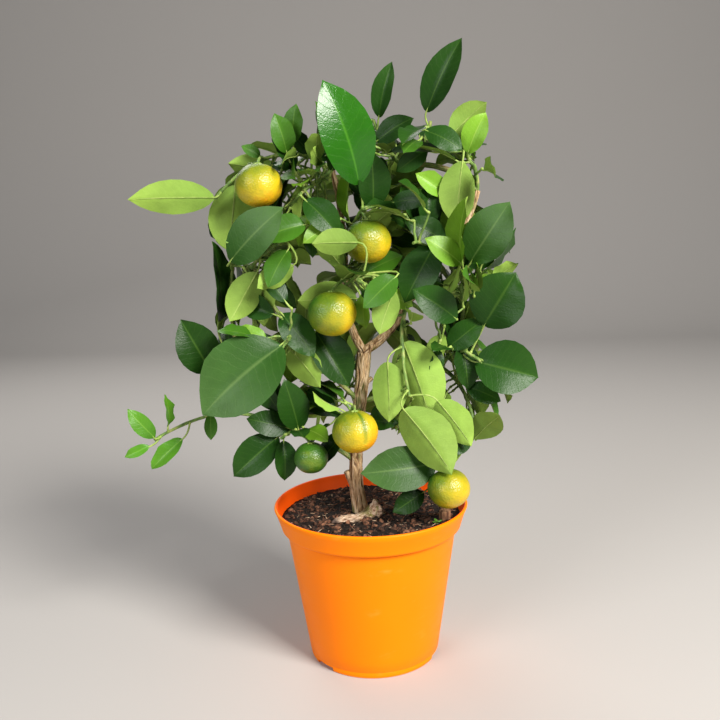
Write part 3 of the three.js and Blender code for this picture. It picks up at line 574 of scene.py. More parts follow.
# The trunk and boughs: one slim trunk that forks low and near its top, with its boughs trained out
# into a fan. Old wood is tan and furrowed lengthwise; young wood is green with tan streaks. Two
# pruned stubs stand on the trunk.
FORKS = {
    "foot": (-6.8, 4, 108),
    "lowFork": (-10.5, 3, 152),
    "midFork": (-6, 2, 200),
    "topFork": (-2, 0, 239),
    "lowLeft": (-58, 0, 180),
    "outerLeft": (-97, 0, 243),
    "highLeft": (-97, -4, 304),
    "midLeft": (-57, -6, 259),
    "upperLeft": (-80, -12, 305),
    "innerLeft": (-15, 4, 286),
    "topLeft": (-21, 4, 374),
    "innerRight": (32, 0, 277),
    "midRight": (57, 0, 308),
    "topRight": (84, -2, 356),
    "topMiddle": (30, 0, 376),
    "outerRight": (57, 10, 224),
    "highRight": (74, 5, 272),
}
TRUNK_RADII = {"foot": 5.4, "waist": 4.6, "fork": 5, "flare": 1.8, "flare_height": 9}
STUBS = (
    ((-8.5, 4, 122), (-18, 3, 144.5), 3.6, 2.6),
    ((-4, 2, 212), (3.6, 1, 218.5), 2.4, 1.7),
)
OLD_BOUGHS = {
    "bough_inner_left": ("topFork", "innerLeft", 3.2, 2.7, (-4, 2, 0)),
    "bough_top_left": ("innerLeft", "topLeft", 2.7, 2, (3, 2, 0)),
    "bough_inner_right": ("topFork", "innerRight", 3.7, 3.2, (3, 0, -3)),
    "bough_mid_right": ("innerRight", "midRight", 3.2, 2.9, (2, 0, -2)),
    "bough_top_right": ("midRight", "topRight", 2.9, 2.4, (3, 0, -4)),
}
YOUNG_BOUGHS = {
    "bough_low_left": ("lowFork", "lowLeft", 2.4, 1.9, (0, 0, 4)),
    "bough_outer_left": ("lowLeft", "outerLeft", 1.9, 1.6, (-6, 0, 0)),
    "bough_high_left": ("outerLeft", "highLeft", 1.6, 1.4, (-3, 0, 0)),
    "bough_mid_left": ("midFork", "midLeft", 2, 1.7, (-3, -3, 2)),
    "bough_upper_left": ("midLeft", "upperLeft", 1.7, 1.4, (-2, 0, 0)),
    "bough_top_middle": ("topRight", "topMiddle", 2.4, 1.9, (4, 0, 6)),
    "bough_outer_right": ("midFork", "outerRight", 2.2, 1.9, (6, 4, -4)),
    "bough_high_right": ("outerRight", "highRight", 1.9, 1.5, (5, 0, 0)),
}


def spot(place):
    return np.array(FORKS.get(place, place) if isinstance(place, str) else place, dtype=float)


def bowed_path(start, end, bow):
    """A path from one place to another with its middle bowed, as a function of the share along it."""
    first, last = spot(start), spot(end)
    middle = (first + last) / 2 + 2 * np.array(bow, dtype=float)
    return lambda share: (1 - share) ** 2 * first + 2 * share * (1 - share) * middle + share ** 2 * last


def trunk_path(share):
    """One cubic through the trunk's foot and forks, a third of its length apart."""
    a, b, c, d = (spot(name) for name in ("foot", "lowFork", "midFork", "topFork"))
    near = (-5 * a + 18 * b - 9 * c + 2 * d) / 6
    far = (2 * a - 9 * b + 18 * c - 5 * d) / 6
    rest = 1 - share
    return rest ** 3 * a + 3 * rest ** 2 * share * near + 3 * rest * share ** 2 * far + share ** 3 * d


def places_along(path, count):
    return np.array([path(step / count) for step in range(count + 1)])


TRUNK_LENGTH = float(np.linalg.norm(np.diff(places_along(trunk_path, 60), axis=0), axis=1).sum())


def trunk_radius(share, angle, run):
    waist = sin(pi * share) ** 2
    flare = TRUNK_RADII["flare"] * exp(-share * TRUNK_LENGTH / TRUNK_RADII["flare_height"])
    plain = TRUNK_RADII["foot"] + (TRUNK_RADII["fork"] - TRUNK_RADII["foot"]) * share
    swell = 0.35 * noise.noise(Vector((cos(angle), sin(angle), run / 20 + 3)))
    smooth_foot = min(1, max(0.25, (run - 8) / 14))
    return (plain * (1 - waist) + TRUNK_RADII["waist"] * waist + flare
            + swell + 0.5 * smooth_foot * furrows(angle, run, RIDGES) + 0.2)


def bough_radius(foot, tip, relief):
    def radius_at(share, angle, run):
        knot = 0.12 * foot * noise.noise(Vector((cos(angle), sin(angle), run / 8 + foot)))
        return foot + (tip - foot) * share + knot + relief * furrows(angle, run, RIDGES) - 0.05
    return radius_at


old_wood = bmesh.new()
old_wood.loops.layers.uv.new("bark")
bark_tube(old_wood, places_along(trunk_path, 170), 84, trunk_radius)
for start, end, foot, tip in STUBS:
    bark_tube(old_wood, np.linspace(start, end, 26), 32, bough_radius(foot, tip, 0.3))
for start, end, foot, tip, bow in OLD_BOUGHS.values():
    bark_tube(old_wood, places_along(bowed_path(start, end, bow), 90), 44, bough_radius(foot, tip, 0.34))
bmesh.ops.recalc_face_normals(old_wood, faces=old_wood.faces)
furrowed_wood = keep_mesh("furrowed_wood", old_wood)
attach(furrowed_wood, "root")
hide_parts("trunk", *OLD_BOUGHS)

bark_tan, nodes, links, shader = new_material("bark_tan", 0.88, Specular_IOR_Level=0.3)
coords = nodes.new("ShaderNodeTexCoord")
lengthwise = noise_node(
    nodes, links, coords.outputs["Object"], 480, detail=6, rough=0.65, stretch=(1, 1, 0.17))
patches = noise_node(nodes, links, coords.outputs["Object"], 95, detail=5, stretch=(1, 1, 0.4))
furrow_colour = ramp_node(
    nodes, links, lengthwise,
    (0.33, (0.09, 0.045, 0.018)), (0.42, (0.38, 0.22, 0.10)), (0.51, (0.66, 0.45, 0.24)),
    (0.62, (0.84, 0.65, 0.42)))
ridge_height = nodes.new("ShaderNodeAttribute")
ridge_height.attribute_name = "ridge"
ridge_mask = ramp_node(
    nodes, links, ridge_height.outputs["Fac"], (0.1, (0, 0, 0)), (0.42, (1, 1, 1)))
furrow_colour = mix_node(nodes, links, ridge_mask, (0.13, 0.062, 0.026), furrow_colour)
lichen = ramp_node(nodes, links, patches, (0.58, (0, 0, 0)), (0.66, (0.75, 0.75, 0.75)))
links.new(mix_node(nodes, links, lichen, furrow_colour, (0.12, 0.17, 0.035)), shader.inputs["Base Color"])
bump_node(nodes, links, shader, lengthwise, 0.9, 0.0009)
furrowed_wood.data.materials.append(bark_tan)

young_wood = bmesh.new()
young_wood.loops.layers.uv.new("bark")
for start, end, foot, tip, bow in YOUNG_BOUGHS.values():
    bark_tube(young_wood, places_along(bowed_path(start, end, bow), 60), 20, bough_radius(foot, tip, 0.1))
bmesh.ops.recalc_face_normals(young_wood, faces=young_wood.faces)
green_wood = keep_mesh("green_wood", young_wood)
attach(green_wood, "root")
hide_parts(*YOUNG_BOUGHS)

bark_green, nodes, links, shader = new_material("bark_green", 0.6, Specular_IOR_Level=0.4)
coords = nodes.new("ShaderNodeTexCoord")
lengthwise = noise_node(nodes, links, coords.outputs["UV"], 14, detail=5, stretch=(2.6, 0.7, 1))
patches = noise_node(nodes, links, coords.outputs["Object"], 60, detail=4)
green_line = ramp_node(
    nodes, links, lengthwise, (0.36, (0.055, 0.10, 0.018)), (0.52, (0.15, 0.24, 0.04)),
    (0.66, (0.42, 0.36, 0.14)))
tan_mask = ramp_node(nodes, links, patches, (0.5, (0, 0, 0)), (0.62, (0.85, 0.85, 0.85)))
links.new(mix_node(nodes, links, tan_mask, green_line, (0.30, 0.19, 0.085)), shader.inputs["Base Color"])
bump_node(nodes, links, shader, lengthwise, 0.5, 0.0004)
green_wood.data.materials.append(bark_green)

# The foliage: stems that leave the boughs, shoots that leave the stems by the golden angle, and up
# to three leaves on each shoot. The leaves that stand out are placed first, then the shoots fill
# what is left of each stem's reach, and finer twigs with smaller leaves follow by the same rule.
MASSES = {
    "top_left": ("topLeft", (-105, -15, 355), (0, 0, 20), 55, 4),
    "upper_centre": ("topLeft", (-45, -25, 355), (0, 0, 0), 55, 4),
    "crown_centre": ("innerLeft", (0, -20, 345), (-5, 5, 5), 55, 3),
    "centre": ("innerLeft", (0, -40, 300), (0, -5, 5), 55, 3),
    "top_right": ("topMiddle", (50, -10, 405), (5, 0, 0), 50, 5),
    "top_back": ("topMiddle", (10, 15, 410), (0, 5, -5), 50, 4),
    "top_corner": ("topRight", (65, -15, 395), (5, 0, 0), 50, 4),
    "right_upper": ("highRight", (70, -25, 300), (0, 0, 0), 55, 3),
    "right_lower": ("outerRight", (85, -10, 230), (0, 0, 10), 55, 3),
    "centre_right": ("midRight", (35, -30, 320), (0, 0, 5), 60, 5),
    "mid_right": ("innerRight", (65, -25, 265), (0, 0, -5), 50, 4),
    "low_right": ("innerRight", (30, -30, 210), (-5, -5, 5), 50, 3),
    "foot_right": ("outerRight", (70, -20, 165), (15, 5, 0), 50, 3),
    "low_left": ("lowLeft", (-65, -25, 180), (0, 0, 0), 50, 3),
    "low_centre": ((-5, 0, 195), (-10, -35, 205), (-5, 0, -5), 50, 3),
    "left_lower": ("midLeft", (-55, -35, 255), (0, 0, 0), 55, 4),
    "left_mid": ("outerLeft", (-110, -5, 225), (-5, 0, 5), 50, 3),
    "left_upper": ("upperLeft", (-55, -30, 325), (-5, 0, 0), 60, 5),
    "left_top": ("highLeft", (-95, -35, 325), (0, 0, 0), 55, 3),
    "sprig_left": ("lowLeft", (-160, -20, 180), (0, 5, 15), 45, 0),
    "back_top_left": ("topLeft", (-60, 40, 350), (0, 0, 5), 60, 7),
    "back_top_right": ("topRight", (45, 40, 350), (0, 0, 5), 60, 7),
    "back_left": ("upperLeft", (-90, 40, 295), (-5, 0, 5), 60, 7),
    "back_centre": ("innerLeft", (-5, 45, 320), (0, 0, 0), 60, 7),
    "back_right": ("highRight", (60, 40, 300), (0, 0, 0), 60, 7),
    "back_low_right": ("outerRight", (45, 40, 205), (5, 0, 0), 60, 7),
    "back_low_left": ((-5, 5, 210), (-45, 40, 230), (0, 5, -5), 60, 7),
}
UPPER, EDGE, UNDER = 20, 70, 170
# Rows: right, up, hour on a clock seen from the front, length, turn, then the tone and the breadth
# for its length where a leaf is not dark green or not of the common breadth.
LEADERS = {
    "top_left": [(-105, 356, 9, 60, UNDER, "dark", 0.42), (-92, 365, 6.2, 50, UNDER, "dark", 0.7), (-72, 384, 10, 15, UPPER, "mid")],
    "upper_centre": [
        (-52, 385, 11.5, 28, UPPER, "mid"), (-48, 392, 12.3, 27, UPPER, "mid"),
        (-31, 390, 12, 31, EDGE, "mid"), (-40, 352, 4.6, 35, UPPER)],
    "crown_centre": [(-1, 362, 11.4, 74, UPPER, "glossy", 0.53), (-10, 337, 12.2, 37, EDGE, "fresh"), (7, 345, 12, 40, UPPER)],
    "centre": [
        (-6, 280, 9, 44, UNDER), (0, 298, 2.2, 32, UPPER, "mid"), (22, 298, 7.6, 32, UPPER, "mid"),
        (20, 288, 6.7, 32, UNDER), (-4, 322, 9, 32, UNDER)],
    "top_right": [(47, 411, 12.9, 54, UPPER, "dark", 0.44), (46, 398, 4, 30, UPPER)],
    "top_back": [(14, 411, 12.5, 40, UPPER, "dark", 0.4), (12, 394, 2, 32, UPPER)],
    "top_corner": [(72, 376, 6.2, 46, UNDER), (64, 394, 1.6, 34, UNDER), (76, 382, 12.8, 30, UPPER, "fresh")],
    "right_upper": [
        (76, 305, 1.1, 50, UPPER, "grey", 0.68), (70, 302, 12.1, 50, EDGE, "fresh"), (72, 302, 12.4, 34, EDGE, "fresh"),
        (68, 305, 10.2, 32, UPPER, "fresh")],
    "right_lower": [
        (82, 229, 3.5, 48, UPPER, "dark", 0.85), (88, 257, 1, 46, UPPER, "dark", 0.9), (62, 240, 1.7, 34, UPPER),
        (72, 243, 5.8, 36, UPPER), (76, 210, 3.8, 28, UPPER), (83, 245, 5.2, 32, EDGE, "mid")],
    "centre_right": [(60, 320, 9.9, 34, UPPER), (60, 353, 10.2, 27, UPPER, "fresh"), (52, 318, 7, 48, UPPER)],
    "mid_right": [(65, 265, 10.2, 40, UPPER)],
    "low_right": [
        (27, 248, 5.4, 61, UNDER, "dark", 0.66), (25, 203, 4.8, 58, UNDER, "dark", 0.62), (50, 207, 4.8, 41, UNDER), (15, 235, 6, 44, UNDER)],
    "foot_right": [(50, 156, 8.9, 58, UPPER, "grey", 0.58), (40, 135, 8, 28, UPPER)],
    "low_left": [
        (-68, 178, 7.7, 45, UPPER), (-60, 184, 9.6, 33, UPPER), (-53, 183, 11.6, 42, UPPER),
        (-64, 176, 6, 30, UPPER)],
    "low_centre": [(-33, 217, 5, 40, UPPER)],
    "left_lower": [
        (-61, 251, 7.7, 75, UPPER, "grey", 0.72), (-60, 250, 4.7, 42, UNDER), (-61, 272, 4.8, 40, UPPER),
        (-38, 256, 5, 48, UPPER)],
    "left_mid": [(-117, 228, 11.2, 46, UPPER, "dark", 0.68), (-111, 264, 12, 62, EDGE, "dark", 0.5)],
    "left_upper": [
        (-40, 335, 8.5, 35, UPPER, "mid"), (-53, 318, 7, 30, UPPER, "mid"), (-50, 307, 8, 30, UNDER),
        (-77, 302, 7, 40, UNDER)],
    "left_top": [(-94, 311, 1.6, 55, UPPER, "grey")],
    "sprig_left": [
        (-159, 182, 10.8, 30, UPPER, "young", 0.46), (-149, 190, 12, 26, EDGE, "young", 0.4),
        (-163, 176, 8.3, 20, UPPER, "young", 0.42), (-140, 179, 7.6, 32, UPPER, "young", 0.44),
        (-119, 197, 6, 20, UPPER, "mid", 0.5)],
}
LEADER_LEAN = 10
LEADER_HEEL = 10
LEADER_PLACES = 20
LEADER_FIRST_PLACE = 6
LEADER_SLENDER = 0.52
LEADER_FORWARD = (4, -4, 8, -8, 12, -12, 16, -16, 20, 24, 28)
FRUIT = {
    "top_left": ((-72, -28, 363), 33, (0.5, -0.2, -0.8), 0.48),
    "crown_centre": ((3, -20, 322), 34, (0.6, -0.1, -0.8), 0.38),
    "centre": ((-24, -30, 272), 35, (0.9, 0.1, -0.5), 0.38),
    "low_left": ((-43, -30, 166), 25, (0, -1, 0), -0.25),
    "low_centre": ((-10, -42, 188), 33, (0.7, -0.1, -0.7), 0.56),
    "foot_right": ((57, -38, 142), 31, (0.6, -0.5, -0.3), 0.34),
}
FRUIT_SQUASH = 0.93
WINDOWS = np.array([
    (-78, 410, 13), (-38, 415, 7), (-40, 432, 9), (32, 430, 13), (67, 423, 9), (55, 370, 7),
    (98, 372, 8), (-16, 347, 6), (-47, 293, 8), (-33, 304, 6), (-68, 268, 5), (44, 258, 9),
    (96, 250, 9), (11, 232, 9), (57, 215, 6), (71, 196, 6), (-92, 192, 12), (-30, 145, 9),
], dtype=float)
CROWN_CENTRE = np.array((2.0, 0.0, 282.0))
CROWN_HALF = np.array((122.0, 72.0, 132.0))
CROWN_POWER = 3
CLEAR = {"leaf": 3.4, "within": 0.7, "wood": 3, "fruit": 2.5, "own_fruit": 1, "stalk": 2.5, "past_fruit": 1.5}
FINE_CLEAR = {"leaf": 1.6, "within": 0.8, "wood": 1, "fruit": 2, "own_fruit": 2, "stalk": 1, "past_fruit": 1}
STEM_RADII = (1.6, 1.1)
STEM_BARE = 0.15
TWIG_FREE = 0.3
TWIG_RADIUS = 1.2
SHOOT_SEED = 2
BLADE_SLENDER = 0.6
BLADE_FULLER = 1.12
SHOOT_TRIES = 60
SHOOT_DRAWS = 4
SHOOT_PLACES = (0.45, 0.75, 1)
SHOOT_TURN = 137.5
SHOOT_AHEAD = 0.3
SHOOT_OUTWARD = 0.9
SHOOT_UP = 0.15
SHOOT_SPAN = (0.25, 0.6)
LEAF_ARCH = 0.6
LEAF_FOLD = 0.15
LEAF_NECK = 0.9
LEAF_STALK = 7
LEAF_LENGTH = (30, 56)
LEAF_SLENDER = (0.42, 0.58)
LEAF_ASIDE = 0.8
FINE_SEED = 61
VIEW_SLOPE = 0.17
LEADER_VIEW = 4
BARE_FRUIT = "low_centre"
BARE_TRUNK = (0.45, 1)
BARE_BOUGH = (0, 0.6)
BARE_VIEW = 9
FINE_LEAVES = 15
FINE_TRIES = 110
FINE_LENGTH = (24, 50)
FINE_SPAN = (0.15, 0.55)
SPRAY_TONES = ("dark", "dark", "mid", "dark", "dark", "dark", "dark", "fresh")

FRONT = np.array((0.0, -1.0, 0.0))
UP = np.array((0.0, 0.0, 1.0))
SAMPLE_SHARES = np.array([1.0] + [share for share in (0.2, 0.32, 0.44, 0.56, 0.68, 0.8, 0.9) for _ in range(6)])
SAMPLE_ACROSS = np.array([0.0] + [-1, -0.6, -0.2, 0.2, 0.6, 1] * 7)


def unit(vector):
    return vector / np.linalg.norm(vector)


def between(low, high, share):
    return low + (high - low) * share


def seeded(seed):
    """Draws numbers from 0 to 1 that are the same on every run."""
    state = (seed * 2654435761) & 0xFFFFFFFF

    def draw():
        nonlocal state
        state = (1664525 * state + 1013904223) & 0xFFFFFFFF
        return state / 2 ** 32
    return draw


def segment_gaps(points, starts, ends):
    """The gap from every point to every rod, as an array of points by rods."""
    runs = ends - starts
    from_start = points[:, None] - starts
    shares = np.clip((from_start * runs).sum(-1) / (runs * runs).sum(-1), 0, 1)
    return np.linalg.norm(from_start - shares[..., None] * runs, axis=-1)


def leaf_points(leaf, shares, across, lift=0.0):
    """Points of a leaf by their share of its length and of its half width."""
    bend = LEAF_ARCH * shares
    inside = (shares > 0) & (shares < 1)
    taper = np.where(inside, np.sin(pi * np.clip(shares, 0, 1) ** 0.9).clip(0) ** 0.85, 0)
    half = np.maximum(leaf["width"] / 2 * taper, np.where(across != 0, LEAF_NECK, 0))
    aside = across * half
    above = np.cos(bend)[:, None] * leaf["normal"] + np.sin(bend)[:, None] * leaf["ahead"]
    return (leaf["base"]
            + (leaf["length"] * np.sin(bend) / LEAF_ARCH)[:, None] * leaf["ahead"]
            - (leaf["length"] * (1 - np.cos(bend)) / LEAF_ARCH)[:, None] * leaf["normal"]
            + aside[:, None] * leaf["side"]
            + (np.abs(aside) * LEAF_FOLD + lift)[:, None] * above)


def make_leaf(owner, root, base, along, look, length, width, tone="dark"):
    """A leaf arches evenly down along its length, so its chord runs as asked."""
    chord = unit(along)
    face = unit(look - chord * np.dot(look, chord))
    half = LEAF_ARCH / 2
    leaf = {
        "owner": owner, "root": root, "base": base, "tone": tone, "width": width, "blade": width * BLADE_FULLER,
        "ahead": chord * cos(half) + face * sin(half),
        "normal": face * cos(half) - chord * sin(half),
        "length": length * half / sin(half),
    }
    leaf["side"] = np.cross(leaf["ahead"], leaf["normal"])
    leaf["samples"] = leaf_points(leaf, SAMPLE_SHARES, SAMPLE_ACROSS)
    leaf["middle"] = leaf_points(leaf, np.array([0.5]), np.array([0.0]))[0]
    leaf["radius"] = np.linalg.norm(leaf["samples"] - leaf["middle"], axis=1).max()
    return leaf


rods = []
fruits = []
leaves = []
twigs = []


def add_rods(path, foot, tip, count, owner):
    points = places_along(path, count)
    for step in range(count):
        rods.append((points[step], points[step + 1], foot + (tip - foot) * (step + 0.5) / count, owner))


def stem_path(owner):
    start, end, bow = MASSES[owner][:3]
    return bowed_path(start, end, bow)


def nearest_place(path, point):
    """The place on a stem, clear of its foot, nearest to a point, both seen from the front."""
    places = places_along(path, LEADER_PLACES)[LEADER_FIRST_PLACE:]
    gaps = np.hypot(places[:, 0] - point[0], places[:, 2] - point[2])
    return places[int(gaps.argmin())]


add_rods(trunk_path, TRUNK_RADII["foot"], TRUNK_RADII["fork"], 6, "trunk")
for name, (start, end, foot, tip, bow) in {**OLD_BOUGHS, **YOUNG_BOUGHS}.items():
    add_rods(bowed_path(start, end, bow), foot, tip, 4, name)
for owner in MASSES:
    add_rods(stem_path(owner), *STEM_RADII, 4, owner)
for owner, (centre, across, _, _) in FRUIT.items():
    top = np.array(centre, dtype=float) + UP * across / 2
    fruits.append((owner, nearest_place(stem_path(owner), top), np.array(centre, dtype=float), across / 2))


def leaf_blocked(leaf, others, clear):
    """Whether a leaf would come too near the wood, the fruit or another leaf."""
    owner, samples = leaf["owner"], leaf["samples"]
    others_wood = [rod for rod in rods if rod[3] != owner]
    starts = np.array([rod[0] for rod in others_wood])
    ends = np.array([rod[1] for rod in others_wood])
    reaches = np.array([rod[2] for rod in others_wood]) + clear["wood"]
    close = segment_gaps(leaf["middle"][None], starts, ends)[0] < leaf["radius"] + reaches
    if close.any() and (segment_gaps(samples, starts[close], ends[close]) < reaches[close]).any():
        return True
    for fruit_owner, _, centre, radius in fruits:
        reach = radius + (clear["own_fruit"] if fruit_owner == owner else clear["fruit"])
        if (np.linalg.norm(samples - centre, axis=1) < reach).any():
            return True
    for other in leaves + others:
        reach = clear["leaf"] * (clear["within"] if other["owner"] == owner else 1)
        if np.linalg.norm(other["middle"] - leaf["middle"]) >= leaf["radius"] + other["radius"] + reach:
            continue
        gaps = np.linalg.norm(samples[:, None] - other["samples"], axis=-1)
        if gaps.min() < reach:
            return True
    return False


def twig_blocked(start, end, owner, clear):
    """Whether a stalk or shoot would."""
    points = start + np.array([[0.2], [0.4], [0.6], [0.8], [1.0]]) * (end - start)
    others_wood = [rod for rod in rods if rod[3] != owner]
    gaps = segment_gaps(points, np.array([rod[0] for rod in others_wood]), np.array([rod[1] for rod in others_wood]))
    if (gaps < np.array([rod[2] for rod in others_wood]) + clear["stalk"]).any():
        return True
    for _, _, centre, radius in fruits:
        if (np.linalg.norm(points - centre, axis=1) < radius + clear["past_fruit"]).any():
            return True
    for leaf in leaves:
        if np.linalg.norm(points - leaf["middle"], axis=1).min() > leaf["radius"] + clear["leaf"]:
            continue
        if np.linalg.norm(points[:, None] - leaf["samples"], axis=-1).min() < clear["leaf"]:
            return True
    return False


fork_bough = OLD_BOUGHS["bough_inner_right"]
bare_wood = np.array(
    [trunk_path(share) for share in np.linspace(*BARE_TRUNK, 12)]
    + [bowed_path(*fork_bough[:2], fork_bough[4])(share) for share in np.linspace(*BARE_BOUGH, 8)])


def hides_leader(points):
    """Whether points stand in front of a placed leaf, a fruit or the bare fork of the trunk."""
    seen = points[:, 2] + points[:, 1] * VIEW_SLOPE
    wood_seen = bare_wood[:, 2] + bare_wood[:, 1] * VIEW_SLOPE
    near = np.hypot(points[:, :1] - bare_wood[:, 0], seen[:, None] - wood_seen) < BARE_VIEW
    if (near & (points[:, 1:2] < bare_wood[:, 1])).any():
        return True
    for leaf in leaders:
        samples = leaf["samples"]
        leaf_seen = samples[:, 2] + samples[:, 1] * VIEW_SLOPE
        near = np.hypot(points[:, :1] - samples[:, 0], seen[:, None] - leaf_seen) < LEADER_VIEW
        if (near & (points[:, 1:2] < samples[:, 1])).any():
            return True
    for _, _, centre, radius in fruits:
        near = np.hypot(points[:, 0] - centre[0], seen - centre[2] - centre[1] * VIEW_SLOPE) < radius
        if (near & (points[:, 1] < centre[1])).any():
            return True
    return False


def spread(leaf):
    """A leaf's sample points at the full breadth of its blade."""
    if "spread" not in leaf:
        leaf["spread"] = leaf_points({**leaf, "width": leaf["blade"]}, SAMPLE_SHARES, SAMPLE_ACROSS)
    return leaf["spread"]


def cuts(leaf, other):
    """Whether a leaf's points lie on both sides of another's blade."""
    gaps = spread(leaf) - other["base"]
    bend = np.arcsin(np.clip(LEAF_ARCH * (gaps @ other["ahead"]) / other["length"], -1, 1))
    lift = gaps @ other["normal"] + other["length"] * (1 - np.cos(bend)) / LEAF_ARCH
    taper = np.sin(pi * np.clip(bend / LEAF_ARCH, 0, 1) ** 0.9).clip(0) ** 0.85
    inside = np.abs(gaps @ other["side"]) < other["blade"] / 2 * taper
    return bool(inside.any()) and lift[inside].min() < 0 < lift[inside].max()


def crossed(leaf, others):
    """Whether a leaf and any of the others cut through each other."""
    for other in others:
        if other is leaf or np.linalg.norm(other["middle"] - leaf["middle"]) > leaf["radius"] + other["radius"]:
            continue
        if cuts(leaf, other) or cuts(other, leaf):
            return True
    return False


def in_space(points, reach, starts, ends):
    """Whether points lie inside the crown, within reach of the stem, and clear of windows and fruit."""
    if (((np.abs(points - CROWN_CENTRE) / CROWN_HALF) ** CROWN_POWER).sum(-1) > 1).any():
        return False
    gaps = np.hypot(points[:, None, 0] - WINDOWS[:, 0], points[:, None, 2] - WINDOWS[:, 1])
    if (gaps < WINDOWS[:, 2]).any():
        return False
    for _, _, centre, radius in fruits:
        hides = np.hypot(points[:, 0] - centre[0], points[:, 2] - centre[2]) < radius
        if (hides & (points[:, 1] < centre[1])).any():
            return False
    return bool((segment_gaps(points, starts, ends).min(axis=1) < reach).all())


def grow_leaders(owner):
    path = stem_path(owner)
    for right, up, hour, length, turn, *odd in LEADERS.get(owner, []):
        clock = tau * hour / 12
        along = np.array((sin(clock), 0, cos(clock))) * cos(radians(LEADER_LEAN))
        along = along + FRONT * sin(radians(LEADER_LEAN))
        start = np.array((right, 0.0, up))
        root = nearest_place(path, start - along * LEADER_HEEL)
        aside = np.cross(along, FRONT)
        look = FRONT * cos(radians(turn)) + aside * sin(radians(turn)) * (-1 if aside[2] < 0 else 1)
        for forward in LEADER_FORWARD:
            base = np.array((right, root[1] - forward, up))
            leaf = make_leaf(owner, root, base, along, look, length, length * LEADER_SLENDER, *odd[:1])
            leaf["blade"] = length * (odd[1] if len(odd) > 1 else BLADE_SLENDER)
            if leaf_blocked(leaf, [], CLEAR):
                continue
            if twig_blocked(root + (base - root) * TWIG_FREE, base, owner, CLEAR):
                continue
            leaves.append(leaf)
            break


def shoot_leaf(owner, node, run, place, turn, numbers, lengths):
    """One leaf of a shoot: it faces out of the crown and up, and runs ahead or to one side."""
    a, b, c, e, f, g = numbers
    out = (node - CROWN_CENTRE) / CROWN_HALF ** 2 * 80
    out[2] = 0
    out = out / max(1, np.linalg.norm(out))
    aside = unit(np.cross(run, out if np.dot(out, out) > 0.01 else UP))
    along = run
    if place < 1:
        along = (run + aside * (-LEAF_ASIDE if turn % 2 else LEAF_ASIDE)) * LEAF_ASIDE
    along = unit(along + np.array((a - 0.5, b - 0.5, c - 0.6)))
    look = out + UP * 0.5 + np.array((e - 0.5, f - 0.5, g - 0.5)) * 0.8
    length = between(*lengths, a)
    base = node + along * LEAF_STALK
    return make_leaf(owner, node, base, along, look, length, length * between(*LEAF_SLENDER, f))


def grow_shoots(owner, seed, count, tries, spans, lengths, clear):
    path = stem_path(owner)
    reach = MASSES[owner][3]
    own = [rod for rod in rods if rod[3] == owner][:4]
    starts = np.array([rod[0] for rod in own])
    ends = np.array([rod[1] for rod in own])
    draw = seeded(seed)
    axis = unit(path(0.5001) - path(0.4999))
    across = unit(np.cross(axis, UP))
    above = np.cross(across, axis)
    phase = draw() * tau
    left = count
    for attempt in range(tries):
        if left <= 0:
            break
        root = path(between(STEM_BARE, 1, draw()))
        turn = phase + attempt * radians(SHOOT_TURN)
        run = unit(axis * SHOOT_AHEAD + SHOOT_OUTWARD * (across * cos(turn) + above * sin(turn)) + UP * SHOOT_UP)
        span = reach * between(*spans, draw())
        draws = [[[draw() for _ in range(6)] for _ in range(SHOOT_DRAWS)] for _ in SHOOT_PLACES]
        foot, tip = root + run * clear["stalk"], root + run * span
        if not in_space(tip[None], reach, starts, ends) or twig_blocked(foot, tip, owner, clear):
            continue
        kept = []
        for turn_index, place in enumerate(SHOOT_PLACES):
            node = root + run * span * place
            for numbers in draws[turn_index]:
                leaf = shoot_leaf(owner, node, run, place, turn_index, numbers, lengths)
                if not in_space(leaf["samples"], reach, starts, ends) or leaf_blocked(leaf, kept, clear):
                    continue
                if clear is FINE_CLEAR and (hides_leader(leaf["samples"]) or crossed(leaf, leaves + kept)):
                    continue
                if twig_blocked(node + (leaf["base"] - node) * TWIG_FREE, leaf["base"], owner, clear):
                    continue
                if len(kept) < left:
                    kept.append(leaf)
                break
        if not kept:
            continue
        end = kept[-1]["root"]
        samples = np.concatenate([leaf["samples"] for leaf in kept])
        if segment_gaps(samples, foot[None], end[None]).min() < clear["stalk"]:
            continue
        for leaf in kept:
            leaf["tone"] = SPRAY_TONES[len(twigs) % len(SPRAY_TONES)]
        rods.append((root, end, TWIG_RADIUS, owner))
        twigs.append((root, end, kept))
        leaves.extend(kept)
        left -= len(kept)


for owner in MASSES:
    grow_leaders(owner)
leaders = list(leaves)
for index, owner in enumerate(MASSES):
    grow_shoots(owner, SHOOT_SEED + index, MASSES[owner][4], SHOOT_TRIES, SHOOT_SPAN, LEAF_LENGTH, CLEAR)
for leaf in leaves:
    leaf["shown"] = not hides_leader(leaf["samples"]) and not crossed(leaf, leaders)
for leaf in leaders:
    leaf["shown"] = leaf["owner"] != BARE_FRUIT
leaves[:] = [leaf for leaf in leaves if leaf["shown"]]
twigs[:] = [twig for twig in twigs if any(leaf["shown"] for leaf in twig[2])]
leaders[:] = [leaf for leaf in leaders if leaf["shown"]]
for index, owner in enumerate(MASSES):
    if owner == "sprig_left":
        continue
    grow_shoots(owner, FINE_SEED + index, FINE_LEAVES, FINE_TRIES, FINE_SPAN, FINE_LENGTH, FINE_CLEAR)

